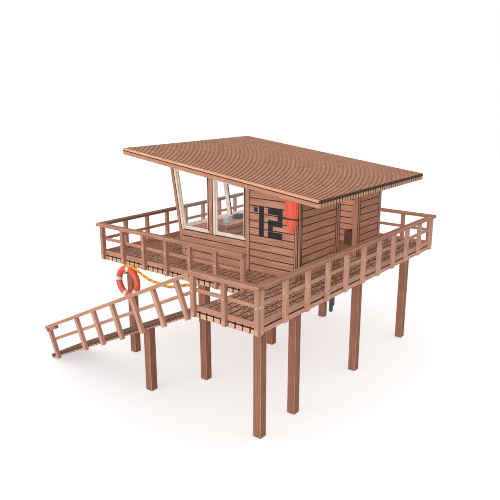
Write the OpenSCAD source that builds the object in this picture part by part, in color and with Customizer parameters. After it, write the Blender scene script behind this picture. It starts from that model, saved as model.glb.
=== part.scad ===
// Beach lifeguard tower in heavy timber.
// A square platform on nine piles, a landing with a ramp down to the sand, railings all
// round and a watch hut whose glass wall leans out towards the sea.
// Millimetres, +Z up. +X points away from the sea, +Y away from the ramp.
// The origin is at the middle of the footprint, on the sand.

/* [Piles] */
// Side of a square pile
pile_side = 240; // [200:10:300]
// Distance between pile rows across the platform
pile_pitch_x = 3240; // [3100:10:3300]
// Distance between pile rows along the platform
pile_pitch_y = 3370; // [3200:10:3450]
// How far the lowest sand lies below the level where the piles meet the beach
sand_drop = 480; // [300:10:600]

/* [Platform] */
// Height of the platform above the pile foot level
deck_level = 2760; // [2500:10:3000]
// Thickness of the platform timbers
deck_thick = 190; // [150:5:220]
// Platform size across, towards the sea
deck_len_x = 8080; // [7900:10:8300]
// Platform size along the beach
deck_len_y = 8020; // [7900:10:8200]
// Distance from one platform timber to the next, as near as they come out even
timber_pitch = 218; // [180:2:260]
// Open joint between two platform timbers
timber_gap = 40; // [6:1:45]
// Height of the beams under the platform
beam_high = 80; // [60:5:100]
// Thickness of the beams under the platform
beam_thick = 90; // [70:5:120]
// Overhang of the platform past the pile row on the doorway side
deck_over_x = 360; // [300:10:420]

/* [Landing] */
// Landing width
landing_len_x = 2040; // [1900:10:2200]
// How far the landing reaches out
landing_len_y = 1976; // [1800:4:2100]

/* [Ramp] */
// Ramp width
ramp_width = 1160; // [1000:10:1300]
// Thickness of the ramp boards
ramp_thick = 50; // [40:5:80]
// Depth of the two beams that carry the ramp boards
ramp_beam_high = 100; // [50:5:120]
// Slope of the ramp
ramp_slope = 25.3; // [24:0.1:27]
// How much more upright than square to the ramp its railing posts stand
ramp_post_lean = 2.5; // [0:0.5:6]
// Top of the ramp's railing, square to the ramp
ramp_rail_high = 930; // [880:5:980]
// Distance between the ramp's railing posts, along the ramp
ramp_post_pitch = 978; // [900:2:1050]
// Distance from the ramp's foot up to the last post of its railing, along the ramp
ramp_foot_gap = 499.24; // [300:0.01:600]
// Middle of the ramp's middle rail, square to the ramp
ramp_mid_rail = 430; // [380:10:500]

/* [Railings] */
// Top of the railings above the platform
rail_height = 1070; // [1000:10:1150]
// Distance between the level railings' posts, as near as equal bays allow
rail_bay = 1000; // [900:10:1100]
// Side of a square railing post
post_side = 120; // [90:5:140]
// Chamfer at the foot of a railing post
post_chamfer = 40; // [20:5:50]
// Width of the flat top rail
cap_width = 190; // [150:5:240]
// Thickness of the flat top rail
cap_thick = 100; // [60:5:130]
// Height of a middle rail board
board_high = 95; // [80:5:160]
// Height of a bottom rail board
toe_high = 130; // [90:5:160]
// Middle of the middle rail above the platform
mid_rail_z = 540; // [400:10:600]
// Thickness of the middle and bottom rail boards
board_thick = 50; // [35:5:60]

/* [Hut] */
// Distance from the platform edge to the hut wall with the windows
hut_front_gap = 1600; // [1500:10:1700]
// Distance from the platform edge to the wall with the doorway
hut_side_gap = 1272; // [1200:4:1400]
// Hut size along the beach
hut_len_y = 5080; // [4900:10:5200]
// Hut size towards the sea, at the floor
hut_len_x = 4670; // [4500:10:4800]
// Side of a hut post
hut_post = 150; // [120:5:180]
// How far the walls lie behind the posts' faces
wall_set = 8; // [4:1:20]
// Height of a wall board, from joint to joint
siding = 226; // [180:2:260]
// Chamfer along the edges of a wall board
siding_cut = 9; // [5:1:12]
// Lean of the glass wall
wall_lean = 9.2; // [6:0.1:12]
// Thickness of the floor boards
floor_thick = 30; // [20:2:40]

/* [Windows] */
// Height of the window sill above the platform
sill_height = 896; // [800:4:950]
// Length of the closed wall beside the doorway corner
closed_len = 1816; // [1700:4:1900]
// Width of the post beside the closed wall
jamb_post = 152; // [130:2:180]
// Clear distance between the window posts
window_span = 1304; // [1200:4:1400]
// Width of the post between the windows
middle_post = 192; // [160:4:220]
// Height of the timber over the windows
window_head = 120; // [100:5:180]
// Face width of the window frames
frame_wide = 76; // [50:2:90]
// How far the window frames lie behind the posts' faces
frame_set = 45; // [30:5:60]
// Width of the frame post in the middle of the leaning window
sea_mullion = 120; // [100:5:150]
// Glass thickness
glass_thick = 8; // [6:1:12]

/* [Doorway] */
// Distance of the doorway from the hut's near corner
door_from_corner = 2240; // [2100:10:2300]
// Doorway width
door_width = 1136; // [900:4:1200]
// Doorway height
door_height = 2150; // [2000:10:2200]
// Thickness of the doorway lining
lining_thick = 30; // [20:2:40]
// Width of the doorway trim
trim_wide = 170; // [120:5:200]
// Thickness of the doorway trim
trim_thick = 40; // [20:2:50]

/* [Roof] */
// Roof underside above the platform, at the low edge
roof_low = 2348; // [2300:4:2500]
// Fall of the roof
roof_fall = 6.7; // [5:0.1:8]
// Overhang of the roof past the doorway wall
roof_over_side = 1112; // [1000:4:1250]
// Overhang of the roof past the window walls
roof_over_front = 772; // [700:4:850]
// Roof length along the fall, in plan
roof_len_x = 7650; // [7500:10:7900]
// Thickness of the roof planks
roof_plank = 175; // [110:5:190]
// Thickness of the roof cover boards
roof_cover_thick = 75; // [40:5:90]
// Distance from one cover board to the next, as near as they come out even
cover_pitch = 150; // [120:5:200]
// Open joint between two cover boards
cover_gap = 10; // [6:1:16]
// Height of the bearers under the roof planks
bearer_high = 160; // [120:5:180]
// Thickness of the bearers under the roof planks
bearer_thick = 110; // [90:5:140]

/* [Inside] */
// Distance of the desk from the front wall
desk_start = 1420; // [1300:10:1500]
// Distance of the desk's far end from the back wall
desk_gap = 460; // [300:10:600]
// Desk depth at its top
desk_deep = 570; // [500:10:620]
// Desk height over the floor boards
desk_high = 770; // [700:10:800]
// Thickness of the desk boards
desk_board = 40; // [25:1:50]
// Side of the radio
radio_side = 250; // [200:5:300]
// Height of the radio
radio_high = 165; // [130:5:200]
// Side of the instrument box
box_side = 225; // [180:5:260]
// Height of the instrument box
box_high = 190; // [150:5:220]
// Locker width
locker_wide = 400; // [350:10:450]
// Locker depth
locker_deep = 420; // [350:10:450]
// Locker height
locker_high = 480; // [420:10:540]

/* [Fittings] */
// Outer diameter of the life ring
ring_outer = 1090; // [900:10:1150]
// Thickness of the life ring
ring_thick = 205; // [160:5:230]
// Side of the iron peg that carries the ring
ring_peg_side = 40; // [30:2:50]
// Rope diameter
rope_dia = 80; // [50:2:90]
// Width of the rescue board
board_wide = 440; // [360:4:480]
// Length of the rescue board
board_len = 1000; // [900:10:1080]
// Thickness of the rescue board
board_deep = 100; // [60:5:120]
// Width of the rescue board's rounded tip
board_tip_wide = 200; // [120:4:260]
// Width of the strap over the rescue board
strap_wide = 42; // [30:2:60]
// Width of the bracket under the platform edge
bracket_wide = 80; // [50:2:100]

/* [Hidden] */

eps = 1;
deck_top = deck_level;
deck_low = deck_top - deck_thick;
deck_x1 = deck_over_x;
deck_x0 = deck_x1 - deck_len_x;
deck_y0 = -pile_side / 2;
deck_y1 = deck_y0 + deck_len_y;
landing_x0 = deck_x1 - landing_len_x;
landing_y0 = deck_y0 - landing_len_y;
foot_z = -sand_drop;
rail_top = deck_top + rail_height;

// Ramp geometry: the walking surface falls towards -X from the landing's edge.
// Along the slope, places are measured from that edge, downhill negative.
ramp_s = sin(ramp_slope);
ramp_c = cos(ramp_slope);
ramp_y0 = landing_y0;
ramp_y1 = ramp_y0 + ramp_width;
ramp_deep = ramp_thick + ramp_beam_high;
ramp_seat = 15;
ramp_len = (deck_top - foot_z - ramp_deep * ramp_c + ramp_seat) / ramp_s;
ramp_beam_thick = 90;
ramp_pile_part = 0.358;
// Feet of the ramp's railing posts, from the landing down, and the low end of its rails
ramp_last_post = 240;
ramp_post_down = 60;
ramp_low_post = ramp_foot_gap - ramp_len;
// Even bays down from the landing, and one longer bay at the low end
ramp_bays = floor((-ramp_low_post - ramp_last_post) / ramp_post_pitch) - 1;
ramp_feet = concat([for (i = [0 : ramp_bays]) -ramp_last_post - i * ramp_post_pitch], [ramp_low_post]);
ramp_rail_past = 80;
ramp_rail_end = ramp_low_post - ramp_rail_past;
ramp_block_len = 550;

// Piles: doorway side at x = 0, ramp side at y = 0, one under the landing, one under the ramp
landing_pile_y = landing_y0 + ramp_width / 2;
ramp_pile_x = landing_x0 - ramp_len * ramp_c * ramp_pile_part;

hut_y0 = deck_y0 + hut_front_gap;
hut_y1 = hut_y0 + hut_len_y;
hut_x1 = deck_x1 - hut_side_gap;
hut_x0 = hut_x1 - hut_len_x;
back_y = hut_y1 - hut_post;
floor_top = deck_top + floor_thick;
sill_z = deck_top + sill_height;
jamb_x1 = hut_x1 - closed_len;
jamb_x0 = jamb_x1 - jamb_post;
middle_x1 = jamb_x0 - window_span;
middle_x0 = middle_x1 - middle_post;
roof_x1 = hut_x1 + roof_over_side;
roof_x0 = roof_x1 - roof_len_x;
roof_y0 = hut_y0 - roof_over_front;
roof_y1 = hut_y1 + roof_over_front;
fall = tan(roof_fall);
lean = tan(wall_lean);

// The whole tower stands round the origin, on the sand
all_x0 = landing_x0 + ramp_rail_end * ramp_c - ramp_rail_high * ramp_s;
all_x1 = deck_x1 + post_side / 2 + cap_width / 2;
all_y0 = landing_y0 - post_side / 2 - cap_width / 2;
all_y1 = deck_y1 + post_side / 2 + cap_width / 2;
shift = [-(all_x0 + all_x1) / 2, -(all_y0 + all_y1) / 2, sand_drop];

timber = [0.70, 0.49, 0.39];
timber_dark = [0.58, 0.40, 0.32];
cream = [0.93, 0.87, 0.80];
clear = [0.8, 0.9, 0.9, 0.4];

module place() {
    translate(shift) children();
}

// Underside of the roof at a distance x, and the leaning wall's outer face at a height z
function roof_z(x) = deck_top + roof_low + (roof_x1 - x) * fall;
function lean_x(z) = hut_x0 - (z - deck_top) * lean;

// Height where a line that leans with the wall, in by a distance, meets a plane below the roof
function lean_top(in, below) =
    deck_top + (roof_low - below + (roof_x1 - hut_x0 - in) * fall) / (1 - lean * fall);

module block(a, b) {
    translate(a) cube([b[0] - a[0], b[1] - a[1], b[2] - a[2]]);
}

// A wall outline in the XZ plane, extruded along Y from y0 to y1
module side_plate(points, y0, y1) {
    translate([0, y1, 0]) rotate([90, 0, 0]) linear_extrude(y1 - y0) polygon(points);
}

module pile(x, y, top = deck_low) {
    block([x - pile_side / 2, y - pile_side / 2, foot_z], [x + pile_side / 2, y + pile_side / 2, top]);
}

// Nine piles under the platform and one under the landing
module main_piles() {
    place() color(timber) {
        for (i = [0 : 2], j = [0 : 2]) pile(-i * pile_pitch_x, j * pile_pitch_y);
        pile(0, landing_pile_y);
    }
}

// Children are drawn with +X uphill along the surface and +Z square to it
module on_ramp() {
    translate([landing_x0, 0, deck_top]) rotate([0, -ramp_slope, 0]) children();
}

// The ramp is cut level at the sand and upright at the landing
module above_sand() {
    intersection() {
        children();
        block([-2 * ramp_len, -2 * deck_len_y, foot_z], [landing_x0, deck_len_y, 2 * deck_top]);
    }
}

// The ramp's pile is cut to the slope under the boards
module ramp_pile() {
    place() color(timber) difference() {
        pile(ramp_pile_x, landing_pile_y);
        on_ramp() block([-ramp_len, 2 * landing_y0, -ramp_thick], [0, 0, deck_top]);
    }
}

// Beams along X under the platform and the landing, bolted to the back of each pile row.
// They carry every timber and stop short of the platform's edges, out of sight.
beam_in = 50;
beam_back = 160;

module deck_beams() {
    rows = [for (j = [0 : 2]) [j * pile_pitch_y, deck_x0 + beam_in]];
    place() color(timber_dark) for (r = concat(rows, [[landing_pile_y, landing_x0 + pile_side / 2]]))
        block([r[1], r[0] + pile_side / 2, deck_low - beam_high],
            [deck_x1 - beam_back, r[0] + pile_side / 2 + beam_thick, deck_low]);
}

// Heavy timbers along Y, laid side by side over the beams with open joints
module laid_timbers(x0, x1, y0, y1) {
    n = round((x1 - x0) / timber_pitch);
    pitch = (x1 - x0 + timber_gap) / n;
    for (i = [0 : n - 1])
        block([x0 + i * pitch, y0, deck_low], [x0 + (i + 1) * pitch - timber_gap, y1, deck_top]);
}

module main_deck() {
    place() color(timber) laid_timbers(deck_x0, deck_x1, deck_y0, deck_y1);
}

module landing_deck() {
    place() color(timber) laid_timbers(landing_x0, deck_x1, landing_y0, deck_y0);
}

module ramp_deck() {
    place() color(timber) above_sand() on_ramp()
        block([-ramp_len, ramp_y0, -ramp_thick], [ramp_deep, ramp_y1, 0]);
}

module ramp_beams() {
    place() color(timber_dark) above_sand() on_ramp() for (y = [ramp_y0, ramp_y1 - ramp_beam_thick])
        block([-ramp_len, y, -ramp_deep], [ramp_deep, y + ramp_beam_thick, -ramp_thick]);
}

// Side view of a post, from its inner face outwards, with its foot cut off at the outer edge
function post_outline(out) =
    [[0, post_low], [out * (post_side - post_chamfer), post_low],
        [out * post_side, post_low + post_chamfer], [out * post_side, rail_top - cap_thick],
        [0, rail_top - cap_thick]];

// Railing along X on an edge at y: posts on the outer face, boards on the inner face.
// out is -1 when the outside is towards -Y and 1 when it is towards +Y.
module railing_x(xs, y, out, cap_ends, board_ends) {
    ym = y + out * post_side / 2;
    for (x = xs) translate([x - post_side / 2, y, 0]) rotate([90, 0, 90])
        linear_extrude(post_side) polygon(post_outline(out));
    block([cap_ends[0], ym - cap_width / 2, rail_top - cap_thick],
        [cap_ends[1], ym + cap_width / 2, rail_top]);
    for (z = [[toe_gap, toe_gap + toe_high], [mid_rail_z - board_high / 2, mid_rail_z + board_high / 2]])
        block([board_ends[0], min(y + out * board_notch, y - out * board_thick), deck_top + z[0]],
            [board_ends[1], max(y + out * board_notch, y - out * board_thick), deck_top + z[1]]);
}

// Railing along Y, the same way: out is -1 towards -X and 1 towards +X
module railing_y(ys, x, out, cap_ends, board_ends) {
    mirror([1, -1, 0]) railing_x(ys, x, out, cap_ends, board_ends);
}

// Places of the posts between two edges in equal bays, the end posts flush with the edges
function posts(a, b) =
    let (n = round((b - a - post_side) / rail_bay))
    [for (i = [0 : n]) a + post_side / 2 + i * (b - a - post_side) / n];

toe_gap = 8;
board_notch = 5;
post_up = 25;
post_low = deck_low + post_up;
cap_in = cap_width / 2 - post_side / 2;
cap_out = cap_width / 2 + post_side / 2;
board_in = board_thick + eps;

// The last post of the ramp side stands on the landing's corner
module front_railing() {
    end = landing_x0 + post_side;
    place() color(timber) difference() {
        railing_x(posts(deck_x0, end), deck_y0, -1, [deck_x0 - cap_out, end], [deck_x0, end]);
        block([landing_x0, landing_y0, 0], [deck_x1, deck_y0, deck_top]);
    }
}

module back_railing() {
    place() color(timber) railing_x(posts(deck_x0, deck_x1), deck_y1, 1,
        [deck_x0 - cap_out, deck_x1 + cap_out], [deck_x0, deck_x1]);
}

module sea_railing() {
    place() color(timber) railing_y(posts(deck_y0, deck_y1), deck_x0, -1,
        [deck_y0 + cap_in, deck_y1 - cap_in], [deck_y0 + board_in, deck_y1 - board_in]);
}

module side_railing() {
    place() color(timber) railing_y(posts(landing_y0, deck_y1), deck_x1, 1,
        [landing_y0 + cap_in, deck_y1 - cap_in], [landing_y0 + board_in, deck_y1 - board_in]);
}

// The landing's corner post stands outside the corner, beside the first side post
module landing_railing() {
    place() color(timber) railing_x(posts(landing_x0, deck_x1 + post_side), landing_y0, -1,
        [landing_x0, deck_x1 + cap_out], [landing_x0, deck_x1]);
}

// Railing of the ramp's outer edge: leaning posts, flat top rail with an end block, middle rail
module ramp_railing() {
    ym = ramp_y0 - post_side / 2;
    under = ramp_rail_high - cap_thick;
    place() color(timber) above_sand() on_ramp() {
        intersection() {
            for (x = ramp_feet) translate([x, ym, 0]) rotate([0, ramp_post_lean, 0])
                block([-post_side / 2, -post_side / 2, -ramp_deep - ramp_post_down],
                    [post_side / 2, post_side / 2, ramp_rail_high]);
            block([-ramp_len, 2 * landing_y0, -deck_top], [0, 0, under]);
        }
        block([ramp_rail_end, ym - cap_width / 2, under],
            [ramp_rail_high, ym + cap_width / 2, ramp_rail_high]);
        block([ramp_rail_end, ym - post_side / 2, under - cap_thick],
            [ramp_rail_end + ramp_block_len, ym + post_side / 2, under]);
        block([ramp_low_post, ramp_y0 - board_notch, ramp_mid_rail - board_high / 2],
            [ramp_rail_high, ramp_y0 + board_thick, ramp_mid_rail + board_high / 2]);
    }
}

module hut_floor() {
    place() color(timber_dark)
        block([hut_x0 + hut_post, hut_y0 + hut_post, deck_top], [hut_x1 - hut_post, back_y, floor_top]);
}

// Cuts a post or a wall off under the sloping roof
module under_roof() {
    intersection() {
        children();
        side_plate([[roof_x0, deck_top], [roof_x1, deck_top], [roof_x1, roof_z(roof_x1)],
            [roof_x0, roof_z(roof_x0)]], roof_y0, roof_y1);
    }
}

// A wall or post from the platform, or from a height z, up to the roof
module upright(x0, x1, y0, y1, z = deck_top) {
    under_roof() block([x0, y0, z], [x1, y1, roof_z(roof_x0)]);
}

// A plate that leans with the glass wall, between two depths and two heights
module lean_plate(z0, z1, in0, in1, y0, y1) {
    side_plate([[lean_x(z0) + in0, z0], [lean_x(z0) + in1, z0],
        [lean_x(z1) + in1, z1], [lean_x(z1) + in0, z1]], y0, y1);
}

// Two upright posts at the doorway wall and two leaning posts at the glass wall
module corner_posts() {
    place() color(timber) for (y = [hut_y0, back_y]) {
        upright(hut_x1 - hut_post, hut_x1, y, y + hut_post);
        under_roof() lean_plate(deck_top, roof_z(roof_x0), 0, hut_post, y, y + hut_post);
    }
}

// Heights of the joints between wall boards, the same all round the hut
function wall_joints(z0, z1) =
    [for (i = [ceil((z0 - deck_top + siding_cut) / siding) : floor((z1 - deck_top - siding_cut) / siding)])
        deck_top + i * siding];

// One face of a wall of boards laid edge on edge, as a line that goes in at every joint.
// It stands at a, leans by the slope given and its joints go in by the chamfer, towards side.
function board_face(a, side, z0, z1, slope) =
    let (at = function(z, in) [a + side * in - (z - deck_top) * slope, z])
    concat([at(z0, 0)], [for (z = wall_joints(z0, z1))
        each [at(z - siding_cut, 0), at(z, siding_cut), at(z + siding_cut, 0)]], [at(z1, 0)]);

// The wall's cross-section between the faces a and b, from a height z0 up to z1
function board_section(a, b, z0, z1, slope = 0) =
    let (back = board_face(b, -1, z0, z1, slope))
    concat(board_face(a, 1, z0, z1, slope), [for (i = [len(back) - 1 : -1 : 0]) back[i]]);

// Walls of boards along X and along Y, cut off under the roof
module board_wall_x(x0, x1, y0, y1, z1 = roof_z(roof_x0)) {
    under_roof() translate([x0, 0, 0]) rotate([90, 0, 90]) linear_extrude(x1 - x0)
        polygon(board_section(y0, y1, deck_top, z1));
}

module board_wall_y(x0, x1, y0, y1, z0 = deck_top) {
    under_roof() side_plate(board_section(x0, x1, z0, roof_z(roof_x0)), y0, y1);
}

module long_wall(y) {
    board_wall_x(jamb_x1, hut_x1 - hut_post, y + wall_set, y + hut_post - wall_set);
}

// Under the windows the boards' far ends follow the leaning post
module long_apron(y) {
    intersection() {
        board_wall_x(lean_x(sill_z), jamb_x0, y + wall_set, y + hut_post - wall_set, sill_z);
        side_plate([[lean_x(deck_top) + hut_post, deck_top], [jamb_x0, deck_top], [jamb_x0, sill_z],
            [lean_x(sill_z) + hut_post, sill_z]], y, y + hut_post);
    }
}

module long_window_posts(y) {
    upright(jamb_x0, jamb_x1, y, y + hut_post);
    upright(middle_x0, middle_x1, y, y + hut_post, sill_z);
}

// Outline of the leaning window, by the glass wall, drawn in on every side
module leaning_window(in) {
    head = window_head + in;
    polygon([[lean_x(sill_z + in) + hut_post + in, sill_z + in], [middle_x0 - in, sill_z + in],
        [middle_x0 - in, roof_z(middle_x0 - in) - head],
        [lean_x(lean_top(hut_post + in, head)) + hut_post + in, lean_top(hut_post + in, head)]]);
}

// Outline of the window beside the closed wall, drawn in on every side
module square_window(in) {
    head = window_head + in;
    polygon([[middle_x1 + in, sill_z + in], [jamb_x0 - in, sill_z + in],
        [jamb_x0 - in, roof_z(jamb_x0 - in) - head], [middle_x1 + in, roof_z(middle_x1 + in) - head]]);
}

// Stands an outline in the XZ plane up between y0 and y1
module stand(y0, y1) {
    translate([0, y1, 0]) rotate([90, 0, 0]) linear_extrude(y1 - y0) children();
}

// Frames start behind the posts' outer faces; out is 1 where the outside is towards +Y
module long_frames(y, out) {
    y0 = y + (out < 0 ? frame_set : 0);
    stand(y0, y0 + hut_post - frame_set) {
        difference() {
            leaning_window(0);
            leaning_window(frame_wide);
        }
        difference() {
            square_window(0);
            square_window(frame_wide);
        }
        head_filler();
    }
}

// Timber strip over both windows, up to the roof
module head_filler() {
    polygon([[lean_x(lean_top(hut_post, window_head)) + hut_post, lean_top(hut_post, window_head)],
        [middle_x0, roof_z(middle_x0) - window_head], [middle_x0, roof_z(middle_x0)],
        [lean_x(lean_top(hut_post, 0)) + hut_post, lean_top(hut_post, 0)]]);
    polygon([[middle_x1, roof_z(middle_x1) - window_head], [jamb_x0, roof_z(jamb_x0) - window_head],
        [jamb_x0, roof_z(jamb_x0)], [middle_x1, roof_z(middle_x1)]]);
}

module long_glass(y) {
    stand(y + hut_post / 2 - glass_thick / 2, y + hut_post / 2 + glass_thick / 2) {
        leaning_window(frame_wide);
        square_window(frame_wide);
    }
}

module front_wall() { place() color(timber) long_wall(hut_y0); }
module back_wall() { place() color(timber) long_wall(back_y); }
module front_apron() { place() color(timber) long_apron(hut_y0); }
module back_apron() { place() color(timber) long_apron(back_y); }
module front_window_posts() { place() color(timber) long_window_posts(hut_y0); }
module back_window_posts() { place() color(timber) long_window_posts(back_y); }
module front_window_frames() { place() color(cream) long_frames(hut_y0, -1); }
module back_window_frames() { place() color(cream) long_frames(back_y, 1); }
module front_glass() { place() color(clear) long_glass(hut_y0); }
module back_glass() { place() color(clear) long_glass(back_y); }

// The leaning wall between the corner posts: closed apron, frame with two panes, head
sea_y0 = hut_y0 + hut_post;
sea_y1 = back_y;
sea_mid = (sea_y0 + sea_y1) / 2;
sea_head = lean_top(hut_post, window_head);
sea_panes = [[sea_y0 + frame_wide, sea_mid - sea_mullion / 2],
    [sea_mid + sea_mullion / 2, sea_y1 - frame_wide]];

module sea_apron() {
    outer = hut_x0 + wall_set;
    inner = hut_x0 + hut_post - wall_set;
    place() color(timber) side_plate(board_section(outer, inner, deck_top, sill_z, lean), sea_y0, sea_y1);
}

module sea_window_frame() {
    place() color(cream) difference() {
        under_roof() lean_plate(sill_z, roof_z(roof_x0), frame_set, hut_post, sea_y0, sea_y1);
        for (p = sea_panes)
            lean_plate(sill_z + frame_wide, sea_head - frame_wide, -eps, hut_post + eps, p[0], p[1]);
    }
}

module sea_glass() {
    place() color(clear) for (p = sea_panes)
        lean_plate(sill_z + frame_wide, sea_head - frame_wide, (hut_post - glass_thick) / 2,
            (hut_post + glass_thick) / 2, p[0], p[1]);
}

// The doorway wall; the lining stands inside the wall's opening
door_y0 = hut_y0 + door_from_corner;
door_y1 = door_y0 + door_width;
door_top = deck_top + door_height;
side_x0 = hut_x1 - hut_post + wall_set;
side_x1 = hut_x1 - wall_set;

module side_wall_left() {
    place() color(timber) board_wall_y(side_x0, side_x1, hut_y0 + hut_post, door_y0 - lining_thick);
}

module side_wall_right() {
    place() color(timber) board_wall_y(side_x0, side_x1, door_y1 + lining_thick, back_y);
}

module side_wall_over_door() {
    out = lining_thick;
    place() color(timber) board_wall_y(side_x0, side_x1, door_y0 - out, door_y1 + out, door_top + out);
}

// Lining through the wall, with a flat trim round the doorway on the outside
module door_frame() {
    place() color(timber) difference() {
        union() {
            block([hut_x1 - hut_post, door_y0 - lining_thick, deck_top],
                [side_x1, door_y1 + lining_thick, door_top + lining_thick]);
            block([side_x1, door_y0 - trim_wide, deck_top],
                [side_x1 + trim_thick, door_y1 + trim_wide, door_top + trim_wide]);
        }
        block([hut_x1 - 2 * hut_post, door_y0, 0], [hut_x1 + hut_post, door_y1, door_top]);
    }
}

// Bearers across the hut, on the window posts and inside the two end walls
module roof_bearers() {
    xs = [hut_x1 - hut_post - bearer_thick, (jamb_x0 + jamb_x1 - bearer_thick) / 2,
        (middle_x0 + middle_x1 - bearer_thick) / 2];
    place() color(timber_dark) under_roof() for (x = xs)
        block([x, hut_y0 + hut_post, roof_z(x + bearer_thick) - bearer_high],
            [x + bearer_thick, back_y, roof_z(roof_x0)]);
}

// A layer of the roof between two heights over its underside, from y0 to y1
module roof_layer(z0, z1, y0, y1) {
    side_plate([[roof_x0, roof_z(roof_x0) + z0], [roof_x1, roof_z(roof_x1) + z0],
        [roof_x1, roof_z(roof_x1) + z1], [roof_x0, roof_z(roof_x0) + z1]], y0, y1);
}

module roof_planks() {
    place() color(timber) roof_layer(0, roof_plank, roof_y0, roof_y1);
}

// Narrow boards down the slope with open joints
module roof_cover() {
    n = round((roof_y1 - roof_y0) / cover_pitch);
    pitch = (roof_y1 - roof_y0 + cover_gap) / n;
    place() color(timber_dark) for (i = [0 : n - 1])
        roof_layer(roof_plank, roof_plank + roof_cover_thick, roof_y0 + i * pitch,
            roof_y0 + (i + 1) * pitch - cover_gap);
}

// Desk along the leaning window: top, closed ends and a back rail, open to the room
desk_y0 = hut_y0 + hut_post + desk_start;
desk_y1 = back_y - desk_gap;
desk_top_z = floor_top + desk_high;
desk_x1 = lean_x(desk_top_z) + hut_post + desk_deep;
desk_in = hut_post - wall_set;

// A desk board from the leaning wall to the desk's front edge
module desk_plate(z0, z1, y0, y1) {
    side_plate([[lean_x(z0) + desk_in, z0], [desk_x1, z0], [desk_x1, z1], [lean_x(z1) + desk_in, z1]],
        y0, y1);
}

desk_rail_high = 250;

module watch_desk() {
    low = desk_top_z - desk_board;
    place() color([0.78, 0.60, 0.52]) {
        desk_plate(low, desk_top_z, desk_y0, desk_y1);
        for (y = [desk_y0, desk_y1 - desk_board]) desk_plate(floor_top, low, y, y + desk_board);
        lean_plate(low - desk_rail_high, low, desk_in, desk_in + desk_board, desk_y0, desk_y1);
    }
}

// The box and the radio stand on the desk, by the leaning window
box_in = 210;
box_along = 250;
radio_in = 25;
radio_along = 1050;

module desk_box() {
    x = lean_x(desk_top_z) + hut_post + box_in;
    place() color([0.45, 0.65, 0.6]) block([x, desk_y0 + box_along, desk_top_z],
        [x + box_side, desk_y0 + box_along + box_side, desk_top_z + box_high]);
}

module desk_radio() {
    x = lean_x(desk_top_z) + hut_post + radio_in;
    place() color([0.12, 0.12, 0.13]) block([x, desk_y0 + radio_along, desk_top_z],
        [x + radio_side, desk_y0 + radio_along + radio_side, desk_top_z + radio_high]);
}

// Low locker against the back wall, in line with the doorway
locker_from_corner = 1090;

module locker() {
    x = hut_x1 - locker_from_corner;
    y = back_y + wall_set;
    place() color([0.33, 0.22, 0.19])
        block([x, y - locker_deep, floor_top], [x + locker_wide, y, floor_top + locker_high]);
}

// The life ring hangs on the far pile of the ramp side, its top just over the platform's underside
ring_side = 52;
ring_over = 30;
ring_c = [-2 * pile_pitch_x + ring_side, deck_y0 - ring_thick / 2, deck_low + ring_over - ring_outer / 2];

module life_ring() {
    place() color([0.94, 0.40, 0.30]) translate(ring_c) rotate([90, 0, 0]) rotate_extrude($fn = 48)
        translate([(ring_outer - ring_thick) / 2, 0]) circle(d = ring_thick, $fn = 24);
}

// Iron peg in the pile that the ring hangs on
ring_peg_past = 40;

module ring_peg() {
    top = ring_c[2] + ring_outer / 2 - ring_thick;
    place() color([0.3, 0.31, 0.33])
        block([ring_c[0] - ring_peg_side / 2, deck_y0 - ring_thick - ring_peg_past, top - ring_peg_side],
            [ring_c[0] + ring_peg_side / 2, deck_y0, top]);
}

// Route of the rope, from the ring's top over the ramp to the landing's first railing post:
// its first points are taken from the ring's top, its last ones from the landing's corner
ring_top = ring_c + [0, 0, ring_outer / 2];
rope_tie = [landing_x0, landing_y0, deck_top];
rope_from_ring = [[0, -51, -13], [0, -67, 15], [84, -92, 29], [304, -112, 39]];
rope_between = [[-5900, -360, 2632], [-5700, -410, 2596], [-5500, -465, 2562], [-5300, -520, 2540],
    [-5080, -600, 2535], [-4870, -670, 2541], [-4560, -785, 2577], [-4260, -900, 2630],
    [-3850, -1060, 2682], [-3390, -1260, 2785], [-2850, -1520, 2980], [-2350, -1760, 3175]];
rope_to_post = [[-280, 176, 552], [-40, 111, 625], [40, 66, 645], [40, 0.3, 645]];
rope_route = concat([for (p = rope_from_ring) ring_top + p], rope_between,
    [for (p = rope_to_post) rope_tie + p]);
rope_sides = 8;

function rope_at(t) =
    let (n = len(rope_route) - 1, k = min(floor(t * n), n - 1), u = t * n - k,
        a = rope_route[max(k - 1, 0)], b = rope_route[k], c = rope_route[k + 1],
        d = rope_route[min(k + 2, n)])
    0.5 * (2 * b + (c - a) * u + (2 * a - 5 * b + 4 * c - d) * u * u + (3 * b - a - 3 * c + d) * u * u * u);

rope_rings = 58;
function unit(v) = v / norm(v);
function rope_ring(i) =
    let (t = i / (rope_rings - 1), p = rope_at(t),
        d = unit(rope_at(min(t + 0.005, 1)) - rope_at(max(t - 0.005, 0))),
        s = unit(cross(d, [0, 0, 1])), u = cross(s, d))
    [for (j = [0 : rope_sides - 1], a = 360 * j / rope_sides) p + rope_dia / 2 * (cos(a) * s + sin(a) * u)];

module ring_rope() {
    points = [for (i = [0 : rope_rings - 1]) each rope_ring(i)];
    sides = [for (i = [0 : rope_rings - 2], j = [0 : rope_sides - 1])
        [i * rope_sides + j, (i + 1) * rope_sides + j, (i + 1) * rope_sides + (j + 1) % rope_sides,
            i * rope_sides + (j + 1) % rope_sides]];
    first = [for (j = [0 : rope_sides - 1]) j];
    last = [for (j = [rope_sides - 1 : -1 : 0]) (rope_rings - 1) * rope_sides + j];
    place() color([0.9, 0.6, 0.13]) polyhedron(points, concat(sides, [first], [last]));
}

// Rescue board with a rounded tip, on the corner post beside the closed wall
board_from_corner = 250;
board_taper = 310;
board_under = 62;
board_x = hut_x1 - board_from_corner;
board_x0 = board_x - board_wide / 2;
board_x1 = board_x + board_wide / 2;
board_face = hut_y0 - board_deep;
board_top = roof_z(hut_x1) - board_under;
board_low = board_top - board_len;

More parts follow.
